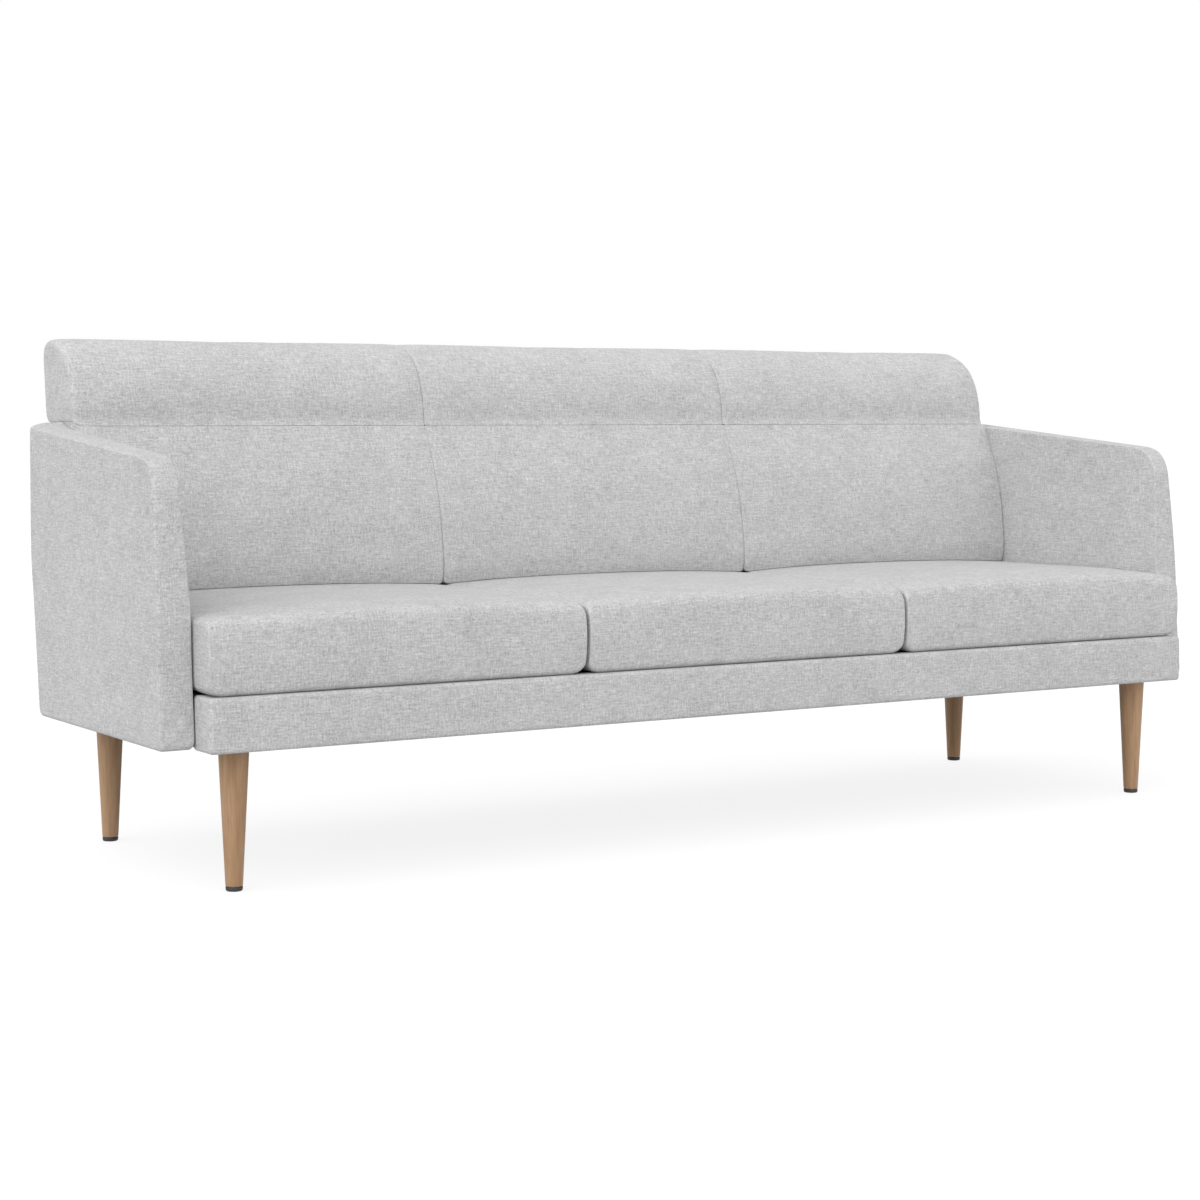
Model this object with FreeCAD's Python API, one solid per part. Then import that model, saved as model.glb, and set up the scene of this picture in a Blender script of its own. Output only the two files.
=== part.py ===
import FreeCAD, Part
import math
import os

from FreeCAD import Vector

# Three-seat sofa: a timber base on four turned legs, thin upholstered arms, three loose seat
# cushions, three fixed back cushions and a row of three head cushions above them.
# Millimetres. X runs across the sofa, the front faces -Y, +Z is up. The origin lies on the floor
# at the centre of the sofa's box.

# ---- overall ----
WIDTH = 2100.0            # over both arms
DEPTH = 730.0             # base front to the back of the head cushions
HEIGHT = 852.0            # floor to the crown of the head cushions
SEATS = 3
OVERCUT = 1.0             # how far a cutting shape reaches past the face it cuts

# ---- base ----
BASE_BOTTOM = 218.0       # underside of the base cover
BASE_TOP = 302.0          # top of the base cover and of the seat deck
COVER_T = 6.0             # padded cover on the outside of the rails
COVER_BOTTOM_T = 4.0      # cover turned in under the rails
COVER_LIP = 30.0          # how far the cover is turned in, above and below
COVER_RETURN = 65.0       # how far the cover is carried round the corner, behind the arm's edge
COVER_EDGE_R = 9.0        # rounding of the cover's long front edges
COVER_CORNER_R = 10.0     # rounding of the cover's upright front corners
RAIL_T = 28.0             # thickness of the timber rails
BLOCK = 75.0              # side of a corner block
BLOCK_CUT = 30.0          # chamfer on a corner block's free corner
BLOCK_DROP = 8.0          # top of a corner block below the rails, clear of the webbing
BATTEN_W = 24.0           # batten that takes the rear ends of the webbing
BATTEN_H = 28.0
DUST_T = 1.0              # cloth under the base
DUST_INSET = 4.0
DUST_CLEARANCE = 1.0      # cloth round a leg plate

# ---- seat webbing and deck ----
WEB_T = 2.0
WEB_W = 60.0
WEB_END = 18.0            # length of strap stapled to a rail
WEB_WAVE = 1.3            # how far a strap rises or dips where two straps cross
WEB_CREST = 64.0          # length of strap kept at that height over a crossing
WEBS_PER_SEAT = 4         # straps from front to back
WEBS_ACROSS = 3           # straps from side to side
DECK_CLEARANCE = 0.1      # deck above the highest strap

# ---- legs ----
LEG_FROM_SIDE_RAIL = 33.0     # leg axis inside the inner face of each rail
LEG_FROM_FRONT_RAIL = 30.5
LEG_FROM_REAR_RAIL = 28.0
LEG_TOP_R = 24.0
LEG_FOOT_R = 13.4
GLIDE_H = 7.0
GLIDE_EDGE = 1.2          # chamfer
PLATE = 60.0              # steel plate under a corner block
PLATE_T = 3.0
BOLT_R = 4.0              # M8 bolts throughout
BOLT_CLEARANCE = 0.15     # radial
LEG_BOLT_IN_LEG = 35.0
BORE_SPARE = 2.0          # bore deeper than the end of its bolt
HEX_FLATS = 13.0
HEX_H = 5.3

# ---- arms ----
ARM_T = 60.0
ARM_LIFT = 2.0            # arm's underside above that of the base
ARM_FRONT_SETBACK = 49.5  # arm's lower front corner behind the base front
ARM_FRONT_RAKE = 6.4      # degrees from upright
ARM_FRONT_R = 62.0        # large upper front corner
ARM_OVER_SEAM = 5.0       # top of the arm at its rear edge, above the head seam
ARM_TOP_SLOPE = 5.25      # degrees, falling towards the front
ARM_REAR_SETBACK = 99.0   # arm's upright rear edge in front of the sofa's rearmost line
ARM_KINK_RISE = 249.0     # height above the arm's underside below which the rear edge slopes in
ARM_REAR_SLOPE_IN = 40.0  # how far it slopes in at the bottom
ARM_KINK_R = 150.0
ARM_CORNER_R = 14.0
ARM_PADDING = 10.0        # between cover and frame
ARM_MEMBER = 55.0         # width of the arm frame's members
ARM_BOLT_PITCH = 300.0
ARM_BOLT_GRIP = 30.0      # bolt's length inside the arm frame
ARM_BOLTS = 2

# ---- back ----
RAKE = 7.1                # degrees from upright
HEAD_H = 147.0            # height of the head cushions above their seam with the back cushions
HEAD_OVERHANG = 14.0      # head cushions stand out behind the outside back
OUTSIDE_T = 5.0           # outside back panel
FRAME_D = 35.0            # depth of the back frame's timbers
FRAME_W = 45.0            # width of its posts and rails
FRAME_COVER = 52.0        # padding over the top of the frame, inside the head cushions
REAR_RAIL_T = 29.5        # thickness of the rear rail at its top
FACING_LAP = 30.0         # end facing of the back carried under the arm's rear foot
BACK_WEBS = 3
BACK_BOLT_IN_RAIL = 50.0  # back bolt's length inside the rear rail

# ---- cushions ----
CUSHION_GAP = 0.7         # between neighbouring seat cushions, and to an arm
CUSHION_LIFT = 0.4        # seat cushion over the deck, and back cushion over the seat
SEAT_FRONT_SETBACK = 3.3  # foremost line of a seat cushion behind the base front
SEAT_THICKNESS = 121.5
SEAT_REAR_GAP = 10.0      # to the back frame
SEAT_BULGE = 6.0          # how far the front face bows out
SEAT_TOP_R = 24.0
SEAT_BOTTOM_R = 14.0
BACK_FOOT_T = 111.5       # thickness of the back cushion along its underside
BACK_NOSE_T = 128.0       # thickness at its foremost line
BACK_NOSE_RISE = 34.0     # height of that line above the underside
BACK_SEAM_T = 88.0        # thickness at the head seam
BACK_BOW = 14.0           # bow of its front face off the straight line
BACK_TUCK_Y = 0.75        # point on the curve under the nose: share of the way forward from
BACK_TUCK_Z = 0.35        # the underside's front edge, and share of the way up
HEAD_FRONT_RISE = 68.0    # nearly upright part of the head cushion's front
HEAD_FRONT_LEAN = 13.0    # how far that part leans back
HEAD_FRONT_HALFWAY = 0.36 # share of that lean reached at half its height
HEAD_CROWN_INSET = 46.0   # crown of the head cushion in front of its rearmost line
HEAD_CROWN_BOW = 19.0     # bow of the curve from front to crown
HEAD_TOP_REAR_R = 22.0
HEAD_BOTTOM_REAR_R = 18.0
POCKET_CLEARANCE = 0.3    # head cushion round the back frame

# ---- worked out ----
BASE_FRONT = -DEPTH / 2
REAR = DEPTH / 2
INNER_X = WIDTH / 2 - ARM_T
RAIL_BOTTOM = BASE_BOTTOM + COVER_BOTTOM_T
RAIL_FRONT = BASE_FRONT + COVER_T
RAIL_INNER_FRONT = RAIL_FRONT + RAIL_T
COVERED_X = INNER_X - COVER_T
RAIL_INNER_X = INNER_X - RAIL_T
DECK_T = COVER_T
WEB_TOP = BASE_TOP - DECK_T - DECK_CLEARANCE
WEB_MID = WEB_TOP - WEB_WAVE - WEB_T / 2
RAIL_TOP = WEB_MID - WEB_T / 2
SEAT_PITCH = 2 * INNER_X / SEATS
LEG_TOP = RAIL_BOTTOM - PLATE_T
ARM_BOTTOM = BASE_BOTTOM + ARM_LIFT
ARM_BOLT_Z = ARM_BOTTOM + ARM_PADDING + ARM_MEMBER / 2
SEAM_Z = HEIGHT - HEAD_H
ARM_REAR_TOP = SEAM_Z + ARM_OVER_SEAM
FRAME_TOP = HEIGHT - FRAME_COVER
SEAT_BOTTOM = BASE_TOP + CUSHION_LIFT
SEAT_TOP = SEAT_BOTTOM + SEAT_THICKNESS
TAN_RAKE = math.tan(math.radians(RAKE))
HEAD_REAR_Z = HEIGHT - HEAD_TOP_REAR_R
POST_X = COVERED_X - FRAME_W / 2


def head_rear(z):
    """Y of the raked rear face of the head cushions at height z."""
    return REAR - (HEAD_REAR_Z - z) * TAN_RAKE


def outside_rear(z):
    return head_rear(z) - HEAD_OVERHANG


def frame_rear(z):
    return outside_rear(z) - OUTSIDE_T


def frame_front(z):
    return frame_rear(z) - FRAME_D


def pad_rear(z):
    """Rear plane of the back cushions, resting on the back webbing."""
    return frame_front(z) - WEB_T


REAR_RAIL_INNER = frame_rear(RAIL_TOP) - REAR_RAIL_T
FACING_FRONT = REAR - ARM_REAR_SETBACK - ARM_REAR_SLOPE_IN - FACING_LAP
LEG_X = RAIL_INNER_X - LEG_FROM_SIDE_RAIL
LEG_FRONT_Y = RAIL_INNER_FRONT + LEG_FROM_FRONT_RAIL
LEG_REAR_Y = REAR_RAIL_INNER - LEG_FROM_REAR_RAIL


def seam_positions():
    """X of the seams between the seats."""
    return [-INNER_X + SEAT_PITCH * i for i in range(1, SEATS)]


def leg_places():
    return {
        "front_left": (-LEG_X, LEG_FRONT_Y),
        "front_right": (LEG_X, LEG_FRONT_Y),
        "rear_left": (-LEG_X, LEG_REAR_Y),
        "rear_right": (LEG_X, LEG_REAR_Y),
    }


# ---------------------------------------------------------------- helpers

def box(x0, x1, y0, y1, z0, z1):
    return Part.makeBox(x1 - x0, y1 - y0, z1 - z0, Vector(x0, y0, z0))


def rounded_outline(corners):
    """Closed wire in the YZ plane through (y, z, radius) corners, each rounded by a tangent arc."""
    count = len(corners)
    starts = []
    ends = []
    edges = []
    for i, (y, z, radius) in enumerate(corners):
        here = Vector(0, y, z)
        before = Vector(0, *corners[i - 1][:2]) - here
        after = Vector(0, *corners[(i + 1) % count][:2]) - here
        before.normalize()
        after.normalize()
        half = before.getAngle(after) / 2
        setback = radius / math.tan(half)
        arc_start = here + before * setback
        arc_end = here + after * setback
        if radius > 0:
            inwards = before + after
            inwards.normalize()
            middle = here + inwards * (radius / math.sin(half) - radius)
            edges.append(Part.Arc(arc_start, middle, arc_end).toShape())
        starts.append(arc_start)
        ends.append(arc_end)
    for i in range(count):
        following = starts[(i + 1) % count]
        if ends[i].distanceToPoint(following) > 1e-6:
            edges.append(Part.LineSegment(ends[i], following).toShape())
    return Part.Wire(Part.__sortEdges__(edges))


def prism(wire, x0, x1):
    """Extrude a YZ wire from x0 to x1."""
    face = Part.Face(wire)
    face.translate(Vector(x0, 0, 0))
    return face.extrude(Vector(x1 - x0, 0, 0))


def raked_slab(y_front, y_rear, z0, z1, x0, x1):
    """Slab whose front and rear faces follow two raked planes."""
    corners = [
        (y_front(z0), z0, 0),
        (y_rear(z0), z0, 0),
        (y_rear(z1), z1, 0),
        (y_front(z1), z1, 0),
    ]
    return prism(rounded_outline(corners), x0, x1)


def cylinder_z(x, y, z0, z1, radius):
    return Part.makeCylinder(radius, z1 - z0, Vector(x, y, z0))


def cylinder_x(x0, x1, y, z, radius):
    return Part.makeCylinder(radius, abs(x1 - x0), Vector(min(x0, x1), y, z), Vector(1, 0, 0))


def hex_head(centre, axis):
    """Hexagonal bolt head that grows from centre along axis."""
    radius = HEX_FLATS / math.sqrt(3)
    side = Vector(0, 0, 1) if abs(axis.z) < 0.5 else Vector(1, 0, 0)
    corner = side * radius
    points = []
    for i in range(7):
        turn = FreeCAD.Rotation(axis, 60 * i)
        points.append(centre + turn.multVec(corner))
    return Part.Face(Part.makePolygon(points)).extrude(axis * HEX_H)


def mirror_x(shape):
    return shape.mirror(Vector(0, 0, 0), Vector(1, 0, 0))


# ---------------------------------------------------------------- base

def front_rail():
    return box(-COVERED_X, COVERED_X, RAIL_FRONT, RAIL_INNER_FRONT, RAIL_BOTTOM, RAIL_TOP)


def side_rail_right():
    """Side rail that the arm bears on, rebated at both ends for the cover and the facing."""
    rail = box(RAIL_INNER_X, INNER_X, RAIL_INNER_FRONT, REAR_RAIL_INNER, RAIL_BOTTOM, RAIL_TOP)
    rebate = box(COVERED_X, INNER_X, RAIL_INNER_FRONT, BASE_FRONT + COVER_RETURN,
                 RAIL_BOTTOM, RAIL_TOP)
    rear_rebate = box(COVERED_X, INNER_X, FACING_FRONT, REAR_RAIL_INNER, RAIL_BOTTOM, RAIL_TOP)
    return rail.cut(rebate).cut(rear_rebate).cut(arm_bolt_holes())


def rear_rail():
    """The rear rail's outer face follows the rake of the back."""
    rail = raked_slab(lambda z: REAR_RAIL_INNER, frame_rear, RAIL_BOTTOM, RAIL_TOP,
                      -COVERED_X, COVERED_X)
    return rail.cut(back_bolt_holes())


def cross_rail(x):
    return box(x - RAIL_T / 2, x + RAIL_T / 2, RAIL_INNER_FRONT, REAR_RAIL_INNER,
               RAIL_BOTTOM, RAIL_TOP)


def rear_battens():
    """One batten in each bay, glued to the rear rail between blocks and cross rails."""
    seams = seam_positions()
    starts = [-RAIL_INNER_X + BLOCK] + [x + RAIL_T / 2 for x in seams]
    ends = [x - RAIL_T / 2 for x in seams] + [RAIL_INNER_X - BLOCK]
    return [
        box(x0, x1, REAR_RAIL_INNER - BATTEN_W, REAR_RAIL_INNER, RAIL_TOP - BATTEN_H, RAIL_TOP)
        for x0, x1 in zip(starts, ends)
    ]


def corner_block(side_x, side_y):
    """Block glued into a corner of the rails, with its free corner cut away."""
    x0 = RAIL_INNER_X * side_x
    y0 = RAIL_INNER_FRONT if side_y < 0 else REAR_RAIL_INNER
    x1 = x0 - BLOCK * side_x
    y1 = y0 - BLOCK * side_y
    points = [
        Vector(x0, y0, RAIL_BOTTOM),
        Vector(x1, y0, RAIL_BOTTOM),
        Vector(x1, y1 + BLOCK_CUT * side_y, RAIL_BOTTOM),
        Vector(x1 + BLOCK_CUT * side_x, y1, RAIL_BOTTOM),
        Vector(x0, y1, RAIL_BOTTOM),
        Vector(x0, y0, RAIL_BOTTOM),
    ]
    height = RAIL_TOP - BLOCK_DROP - RAIL_BOTTOM
    return Part.Face(Part.makePolygon(points)).extrude(Vector(0, 0, height))


def corner_blocks():
    return [corner_block(side_x, side_y) for side_x in (-1, 1) for side_y in (-1, 1)]


def base_cover():
    """Padded cover wrapped round the front of the base, turned in above and below."""
    y1 = BASE_FRONT + COVER_RETURN
    body = box(-INNER_X, INNER_X, BASE_FRONT, y1, BASE_BOTTOM, BASE_TOP)
    uprights = [
        e for e in body.Edges
        if e.BoundBox.ZLength > 1 and abs(e.BoundBox.YMin - BASE_FRONT) < 1e-6
    ]
    body = body.makeFillet(COVER_CORNER_R, uprights)
    long_edges = [
        e for e in body.Edges
        if e.BoundBox.XLength > 100 and e.BoundBox.YMax < BASE_FRONT + 1e-3
    ]
    body = body.makeFillet(COVER_EDGE_R, long_edges)
    pocket = box(-COVERED_X, COVERED_X, RAIL_FRONT, y1 + OVERCUT, RAIL_BOTTOM, RAIL_TOP + WEB_T)
    lip_x = INNER_X - COVER_LIP
    window = box(-lip_x, lip_x, BASE_FRONT + COVER_LIP, y1 + OVERCUT,
                 BASE_BOTTOM - OVERCUT, BASE_TOP + OVERCUT)
    return body.cut(pocket).cut(window)


def dust_cover():
    """Cloth under the base, cut away round the leg plates."""
    x1 = INNER_X - DUST_INSET
    y0 = BASE_FRONT + COVER_LIP
    y1 = frame_rear(RAIL_BOTTOM) - DUST_INSET
    sheet = box(-x1, x1, y0, y1, RAIL_BOTTOM - DUST_T, RAIL_BOTTOM)
    reach = PLATE / 2 + DUST_CLEARANCE
    for leg_x, leg_y in leg_places().values():
        outer_x = math.copysign(WIDTH / 2, leg_x)
        inner_x = leg_x - math.copysign(reach, leg_x)
        outer_y = BASE_FRONT if leg_y == LEG_FRONT_Y else REAR
        inner_y = leg_y + reach if leg_y == LEG_FRONT_Y else leg_y - reach
        sheet = sheet.cut(box(min(outer_x, inner_x), max(outer_x, inner_x),
                              min(outer_y, inner_y), max(outer_y, inner_y), 0, BASE_TOP))
    return sheet


# ---------------------------------------------------------------- seat webbing

def woven_strap(crossings, start, end, first_over):
    """Outline of one strap's side view: (run, height) points, over and under at each crossing."""
    line = [(start, 0.0)]
    over = first_over
    for centre in crossings:
        height = WEB_WAVE if over else -WEB_WAVE
        line.append((centre - WEB_CREST / 2, height))
        line.append((centre + WEB_CREST / 2, height))
        over = not over
    line.append((end, 0.0))
    # Flat stretches where the strap is stapled to a rail.
    line.insert(1, (start + WEB_END, 0.0))
    line.insert(-1, (end - WEB_END, 0.0))
    return line


def strap_solid(line, to_point, width_vector):
    half = WEB_T / 2
    lower = [to_point(run, height - half) for run, height in line]
    upper = [to_point(run, height + half) for run, height in reversed(line)]
    face = Part.Face(Part.makePolygon(lower + upper + [lower[0]]))
    return face.extrude(width_vector)


def strap_x_positions():
    """X of the straps that run from front to back, evenly spaced inside each bay."""
    positions = []
    seams = seam_positions()
    starts = [-RAIL_INNER_X] + [x + RAIL_T / 2 for x in seams]
    ends = [x - RAIL_T / 2 for x in seams] + [RAIL_INNER_X]
    for x0, x1 in zip(starts, ends):
        step = (x1 - x0) / WEBS_PER_SEAT
        positions.append([x0 + step * (i + 0.5) for i in range(WEBS_PER_SEAT)])
    return positions


def strap_y_positions():
    depth = REAR_RAIL_INNER - BATTEN_W - RAIL_INNER_FRONT
    step = depth / WEBS_ACROSS
    return [RAIL_INNER_FRONT + step * (i + 0.5) for i in range(WEBS_ACROSS)]


def webbing_front_to_back():
    straps = []
    start = RAIL_INNER_FRONT - WEB_END
    end = REAR_RAIL_INNER - BATTEN_W + WEB_END
    for bay in strap_x_positions():
        for column, x in enumerate(bay):
            line = woven_strap(strap_y_positions(), start, end, column % 2 == 0)
            straps.append(strap_solid(
                line,
                lambda run, height: Vector(x - WEB_W / 2, run, WEB_MID + height),
                Vector(WEB_W, 0, 0)))
    return straps


def webbing_side_to_side():
    """Straps as long as the base, flat on the cross rails and woven between them."""
    straps = []
    for row, y in enumerate(strap_y_positions()):
        line = [(-RAIL_INNER_X - WEB_END, 0.0)]
        for bay in strap_x_positions():
            step = bay[1] - bay[0]
            bay_start = bay[0] - step / 2
            bay_end = bay[-1] + step / 2
            line.append((bay_start, 0.0))
            for column, x in enumerate(bay):
                over = (column + row) % 2 == 1
                height = WEB_WAVE if over else -WEB_WAVE
                line.append((x - WEB_CREST / 2, height))
                line.append((x + WEB_CREST / 2, height))
            line.append((bay_end, 0.0))
        line.append((RAIL_INNER_X + WEB_END, 0.0))
        straps.append(strap_solid(
            line,
            lambda run, height: Vector(run, y - WEB_W / 2, WEB_MID + height),
            Vector(0, WEB_W, 0)))
    return straps


def seat_deck():
    """Padded cloth over the webbing, flush with the turned-in cover in front of it."""
    lip_x = INNER_X - COVER_LIP
    z0 = BASE_TOP - DECK_T
    behind = BASE_FRONT + COVER_RETURN
    tongue = box(-lip_x, lip_x, BASE_FRONT + COVER_LIP, behind + OVERCUT, z0, BASE_TOP)
    deck = raked_slab(lambda z: behind, frame_front, z0, BASE_TOP, -INNER_X, INNER_X)
    return deck.fuse(tongue).removeSplitter()


# ---------------------------------------------------------------- legs

def leg(x, y):
    """Turned leg with a straight taper, bored for its bolt."""
    turned = Part.makeCone(LEG_FOOT_R, LEG_TOP_R, LEG_TOP - GLIDE_H, Vector(x, y, GLIDE_H))
    bore_bottom = LEG_TOP - LEG_BOLT_IN_LEG - BORE_SPARE
    return turned.cut(cylinder_z(x, y, bore_bottom, LEG_TOP + OVERCUT, BOLT_R + BOLT_CLEARANCE))


def glide(x, y):
    """Black cap nailed under the leg."""
    cap = cylinder_z(x, y, 0, GLIDE_H, LEG_FOOT_R)
    lower = [e for e in cap.Edges if e.BoundBox.ZMax < 1e-6]
    return cap.makeChamfer(GLIDE_EDGE, lower)


def leg_plate(x, y):
    """Steel plate under a corner block that the leg's bolt screws into."""
    half = PLATE / 2
    plate = box(x - half, x + half, y - half, y + half, LEG_TOP, RAIL_BOTTOM)
    return plate.cut(cylinder_z(x, y, LEG_TOP - OVERCUT, RAIL_BOTTOM + OVERCUT, BOLT_R + BOLT_CLEARANCE))


def leg_bolt(x, y):
    return cylinder_z(x, y, LEG_TOP - LEG_BOLT_IN_LEG, RAIL_BOTTOM, BOLT_R)


def at_legs(make, row):
    """One solid at each leg of the front or rear row."""
    return [make(x, y) for place, (x, y) in leg_places().items() if place.startswith(row)]


# ---------------------------------------------------------------- arms

def arm_outline():
    front_y = BASE_FRONT + ARM_FRONT_SETBACK
    rear_y = REAR - ARM_REAR_SETBACK
    lean = math.tan(math.radians(ARM_FRONT_RAKE))
    fall = math.tan(math.radians(ARM_TOP_SLOPE))
    # The upper front corner is where the raked front edge meets the sloping top edge.
    top_z = (ARM_REAR_TOP - fall * (rear_y - front_y) - fall * lean * ARM_BOTTOM) / (1 - fall * lean)
    top_y = front_y + lean * (top_z - ARM_BOTTOM)
    corners = [
        (front_y, ARM_BOTTOM, ARM_CORNER_R),
        (rear_y - ARM_REAR_SLOPE_IN, ARM_BOTTOM, ARM_CORNER_R),
        (rear_y, ARM_BOTTOM + ARM_KINK_RISE, ARM_KINK_R),
        (rear_y, ARM_REAR_TOP, ARM_CORNER_R),
        (top_y, top_z, ARM_FRONT_R),
    ]
    return rounded_outline(corners)


def inset(wire, distance):
    """The same outline, moved inwards by distance."""
    return wire.makeOffset2D(-distance, 2)


def arm_frame_right():
    """Timber frame inside the arm: two openings either side of a middle stile."""
    x0 = INNER_X + ARM_PADDING
    x1 = WIDTH / 2 - ARM_PADDING
    outer = inset(arm_outline(), ARM_PADDING)
    inner = inset(arm_outline(), ARM_PADDING + ARM_MEMBER)
    window = prism(inner, x0 - OVERCUT, x1 + OVERCUT)
    middle = outer.BoundBox.Center.y
    stile = box(x0 - 2 * OVERCUT, x1 + 2 * OVERCUT,
                middle - ARM_MEMBER / 2, middle + ARM_MEMBER / 2, 0, HEIGHT)
    frame = prism(outer, x0, x1).cut(window.cut(stile))
    return frame.cut(arm_bolt_holes())


def arm_cover_right():
    """Upholstered casing of the arm, hollow for its frame."""
    x1 = WIDTH / 2
    body = prism(arm_outline(), INNER_X, x1)
    hollow = prism(inset(arm_outline(), ARM_PADDING), INNER_X + ARM_PADDING, x1 - ARM_PADDING)
    return body.cut(hollow).cut(arm_bolt_holes())


def arm_bolt_places():
    middle = (RAIL_INNER_FRONT + REAR_RAIL_INNER) / 2
    first = middle - ARM_BOLT_PITCH * (ARM_BOLTS - 1) / 2
    return [first + ARM_BOLT_PITCH * i for i in range(ARM_BOLTS)]


def arm_bolt_holes():
    radius = BOLT_R + BOLT_CLEARANCE
    end = INNER_X + ARM_PADDING + ARM_BOLT_GRIP + BORE_SPARE
    holes = [cylinder_x(RAIL_INNER_X - OVERCUT, end, y, ARM_BOLT_Z, radius) for y in arm_bolt_places()]
    return Part.makeCompound(holes)


def arm_bolts():
    bolts = []
    for y in arm_bolt_places():
        end = INNER_X + ARM_PADDING + ARM_BOLT_GRIP
        shank = cylinder_x(RAIL_INNER_X - HEX_H / 2, end, y, ARM_BOLT_Z, BOLT_R)
        head = hex_head(Vector(RAIL_INNER_X, y, ARM_BOLT_Z), Vector(-1, 0, 0))
        bolt = shank.fuse(head)
        bolts.append(bolt)
        bolts.append(mirror_x(bolt))
    return bolts


# ---------------------------------------------------------------- back frame

def back_bottom_rail():
    rail = raked_slab(frame_front, frame_rear, RAIL_TOP, RAIL_TOP + FRAME_W,
                      -COVERED_X, COVERED_X)
    return rail.cut(back_bolt_holes())


def back_top_rail():
    return raked_slab(frame_front, frame_rear, FRAME_TOP - FRAME_W, FRAME_TOP,
                      -COVERED_X, COVERED_X)


def post_positions():
    return [-POST_X] + seam_positions() + [POST_X]


def back_post(x):
    return raked_slab(frame_front, frame_rear, RAIL_TOP + FRAME_W, FRAME_TOP - FRAME_W,
                      x - FRAME_W / 2, x + FRAME_W / 2)


def back_mid_rails():
    posts = post_positions()
    return [
        raked_slab(frame_front, frame_rear, SEAM_Z - FRAME_W, SEAM_Z,
                   left + FRAME_W / 2, right - FRAME_W / 2)
        for left, right in zip(posts[:-1], posts[1:])
    ]


def back_webbing():
    """Straps across the front of the posts, behind the back cushions."""
    low = SEAT_TOP
    high = SEAM_Z - FRAME_W
    step = (high - low) / BACK_WEBS
    straps = []
    for i in range(BACK_WEBS):
        middle = low + step * (i + 0.5)
        straps.append(raked_slab(pad_rear, frame_front, middle - WEB_W / 2, middle + WEB_W / 2,
                                 -COVERED_X, COVERED_X))
    return straps


def back_bolt_places():
    """One upright bolt in the middle of each bay."""
    y = (REAR_RAIL_INNER + frame_rear(RAIL_TOP - BACK_BOLT_IN_RAIL)) / 2
    return [(-INNER_X + SEAT_PITCH * (i + 0.5), y) for i in range(SEATS)]


def back_bolt_holes():
    radius = BOLT_R + BOLT_CLEARANCE
    low = RAIL_TOP - BACK_BOLT_IN_RAIL - BORE_SPARE
    high = RAIL_TOP + FRAME_W + OVERCUT
    return Part.makeCompound([cylinder_z(x, y, low, high, radius) for x, y in back_bolt_places()])


def back_bolts():
    """Bolts down through the back's bottom rail into the rear rail."""
    bolts = []
    head_z = RAIL_TOP + FRAME_W
    for x, y in back_bolt_places():
        shank = cylinder_z(x, y, RAIL_TOP - BACK_BOLT_IN_RAIL, head_z + HEX_H / 2, BOLT_R)
        bolts.append(shank.fuse(hex_head(Vector(x, y, head_z), Vector(0, 0, 1))))
    return bolts


def outside_back():
    """Covered panel over the rear of the frame and of the base."""
    return raked_slab(frame_rear, outside_rear, BASE_BOTTOM, SEAM_Z, -INNER_X, INNER_X)


def back_facing_right():
    """Padded facing on the end of the back frame and of the base behind the arm."""
    upper = raked_slab(frame_front, frame_rear, RAIL_TOP, SEAM_Z, COVERED_X, INNER_X)
    lower = raked_slab(lambda z: FACING_FRONT, frame_rear, RAIL_BOTTOM, RAIL_TOP,
                       COVERED_X, INNER_X)
    return upper.fuse(lower).removeSplitter()


# ---------------------------------------------------------------- cushions

def seat_cushion(x0, x1):
    """Loose box cushion with a bowed front face and rounded edges."""
    front = BASE_FRONT + SEAT_FRONT_SETBACK
    face = front + SEAT_BULGE
    rear = frame_front(SEAT_BOTTOM) - SEAT_REAR_GAP
    body = prism(rounded_outline([
        (face, SEAT_BOTTOM, SEAT_BOTTOM_R),
        (rear, SEAT_BOTTOM, SEAT_BOTTOM_R),
        (rear, SEAT_TOP, SEAT_BOTTOM_R),
        (face, SEAT_TOP, SEAT_TOP_R),
    ]), x0, x1)
    low = Vector(0, face, SEAT_BOTTOM + SEAT_BOTTOM_R)
    high = Vector(0, face, SEAT_TOP - SEAT_TOP_R)
    middle = Vector(0, front, (low.z + high.z) / 2)
    bow = Part.Wire([Part.Arc(low, middle, high).toShape(), Part.LineSegment(high, low).toShape()])
    return body.fuse(prism(bow, x0, x1)).removeSplitter()


def back_cushion(x0, x1):
    """Fixed cushion, thick over the seat and thin at the head seam."""
    bottom = SEAT_TOP + CUSHION_LIFT
    nose_z = bottom + BACK_NOSE_RISE
    foot = Vector(0, pad_rear(bottom) - BACK_FOOT_T, bottom)
    nose = Vector(0, pad_rear(nose_z) - BACK_NOSE_T, nose_z)
    seam = Vector(0, pad_rear(SEAM_Z) - BACK_SEAM_T, SEAM_Z)
    chord = seam - nose
    normal = Vector(0, -chord.z, chord.y)
    normal.normalize()
    bowed = nose + chord * 0.5 + normal * BACK_BOW
    under = Vector(0, foot.y + (nose.y - foot.y) * BACK_TUCK_Y,
                   bottom + (nose.z - bottom) * BACK_TUCK_Z)
    rear_low = Vector(0, pad_rear(bottom), bottom)
    rear_high = Vector(0, pad_rear(SEAM_Z), SEAM_Z)
    wire = Part.Wire([
        Part.Arc(nose, bowed, seam).toShape(),
        Part.LineSegment(seam, rear_high).toShape(),
        Part.LineSegment(rear_high, rear_low).toShape(),
        Part.LineSegment(rear_low, foot).toShape(),
        Part.Arc(foot, under, nose).toShape(),
    ])
    return prism(wire, x0, x1)


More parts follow.
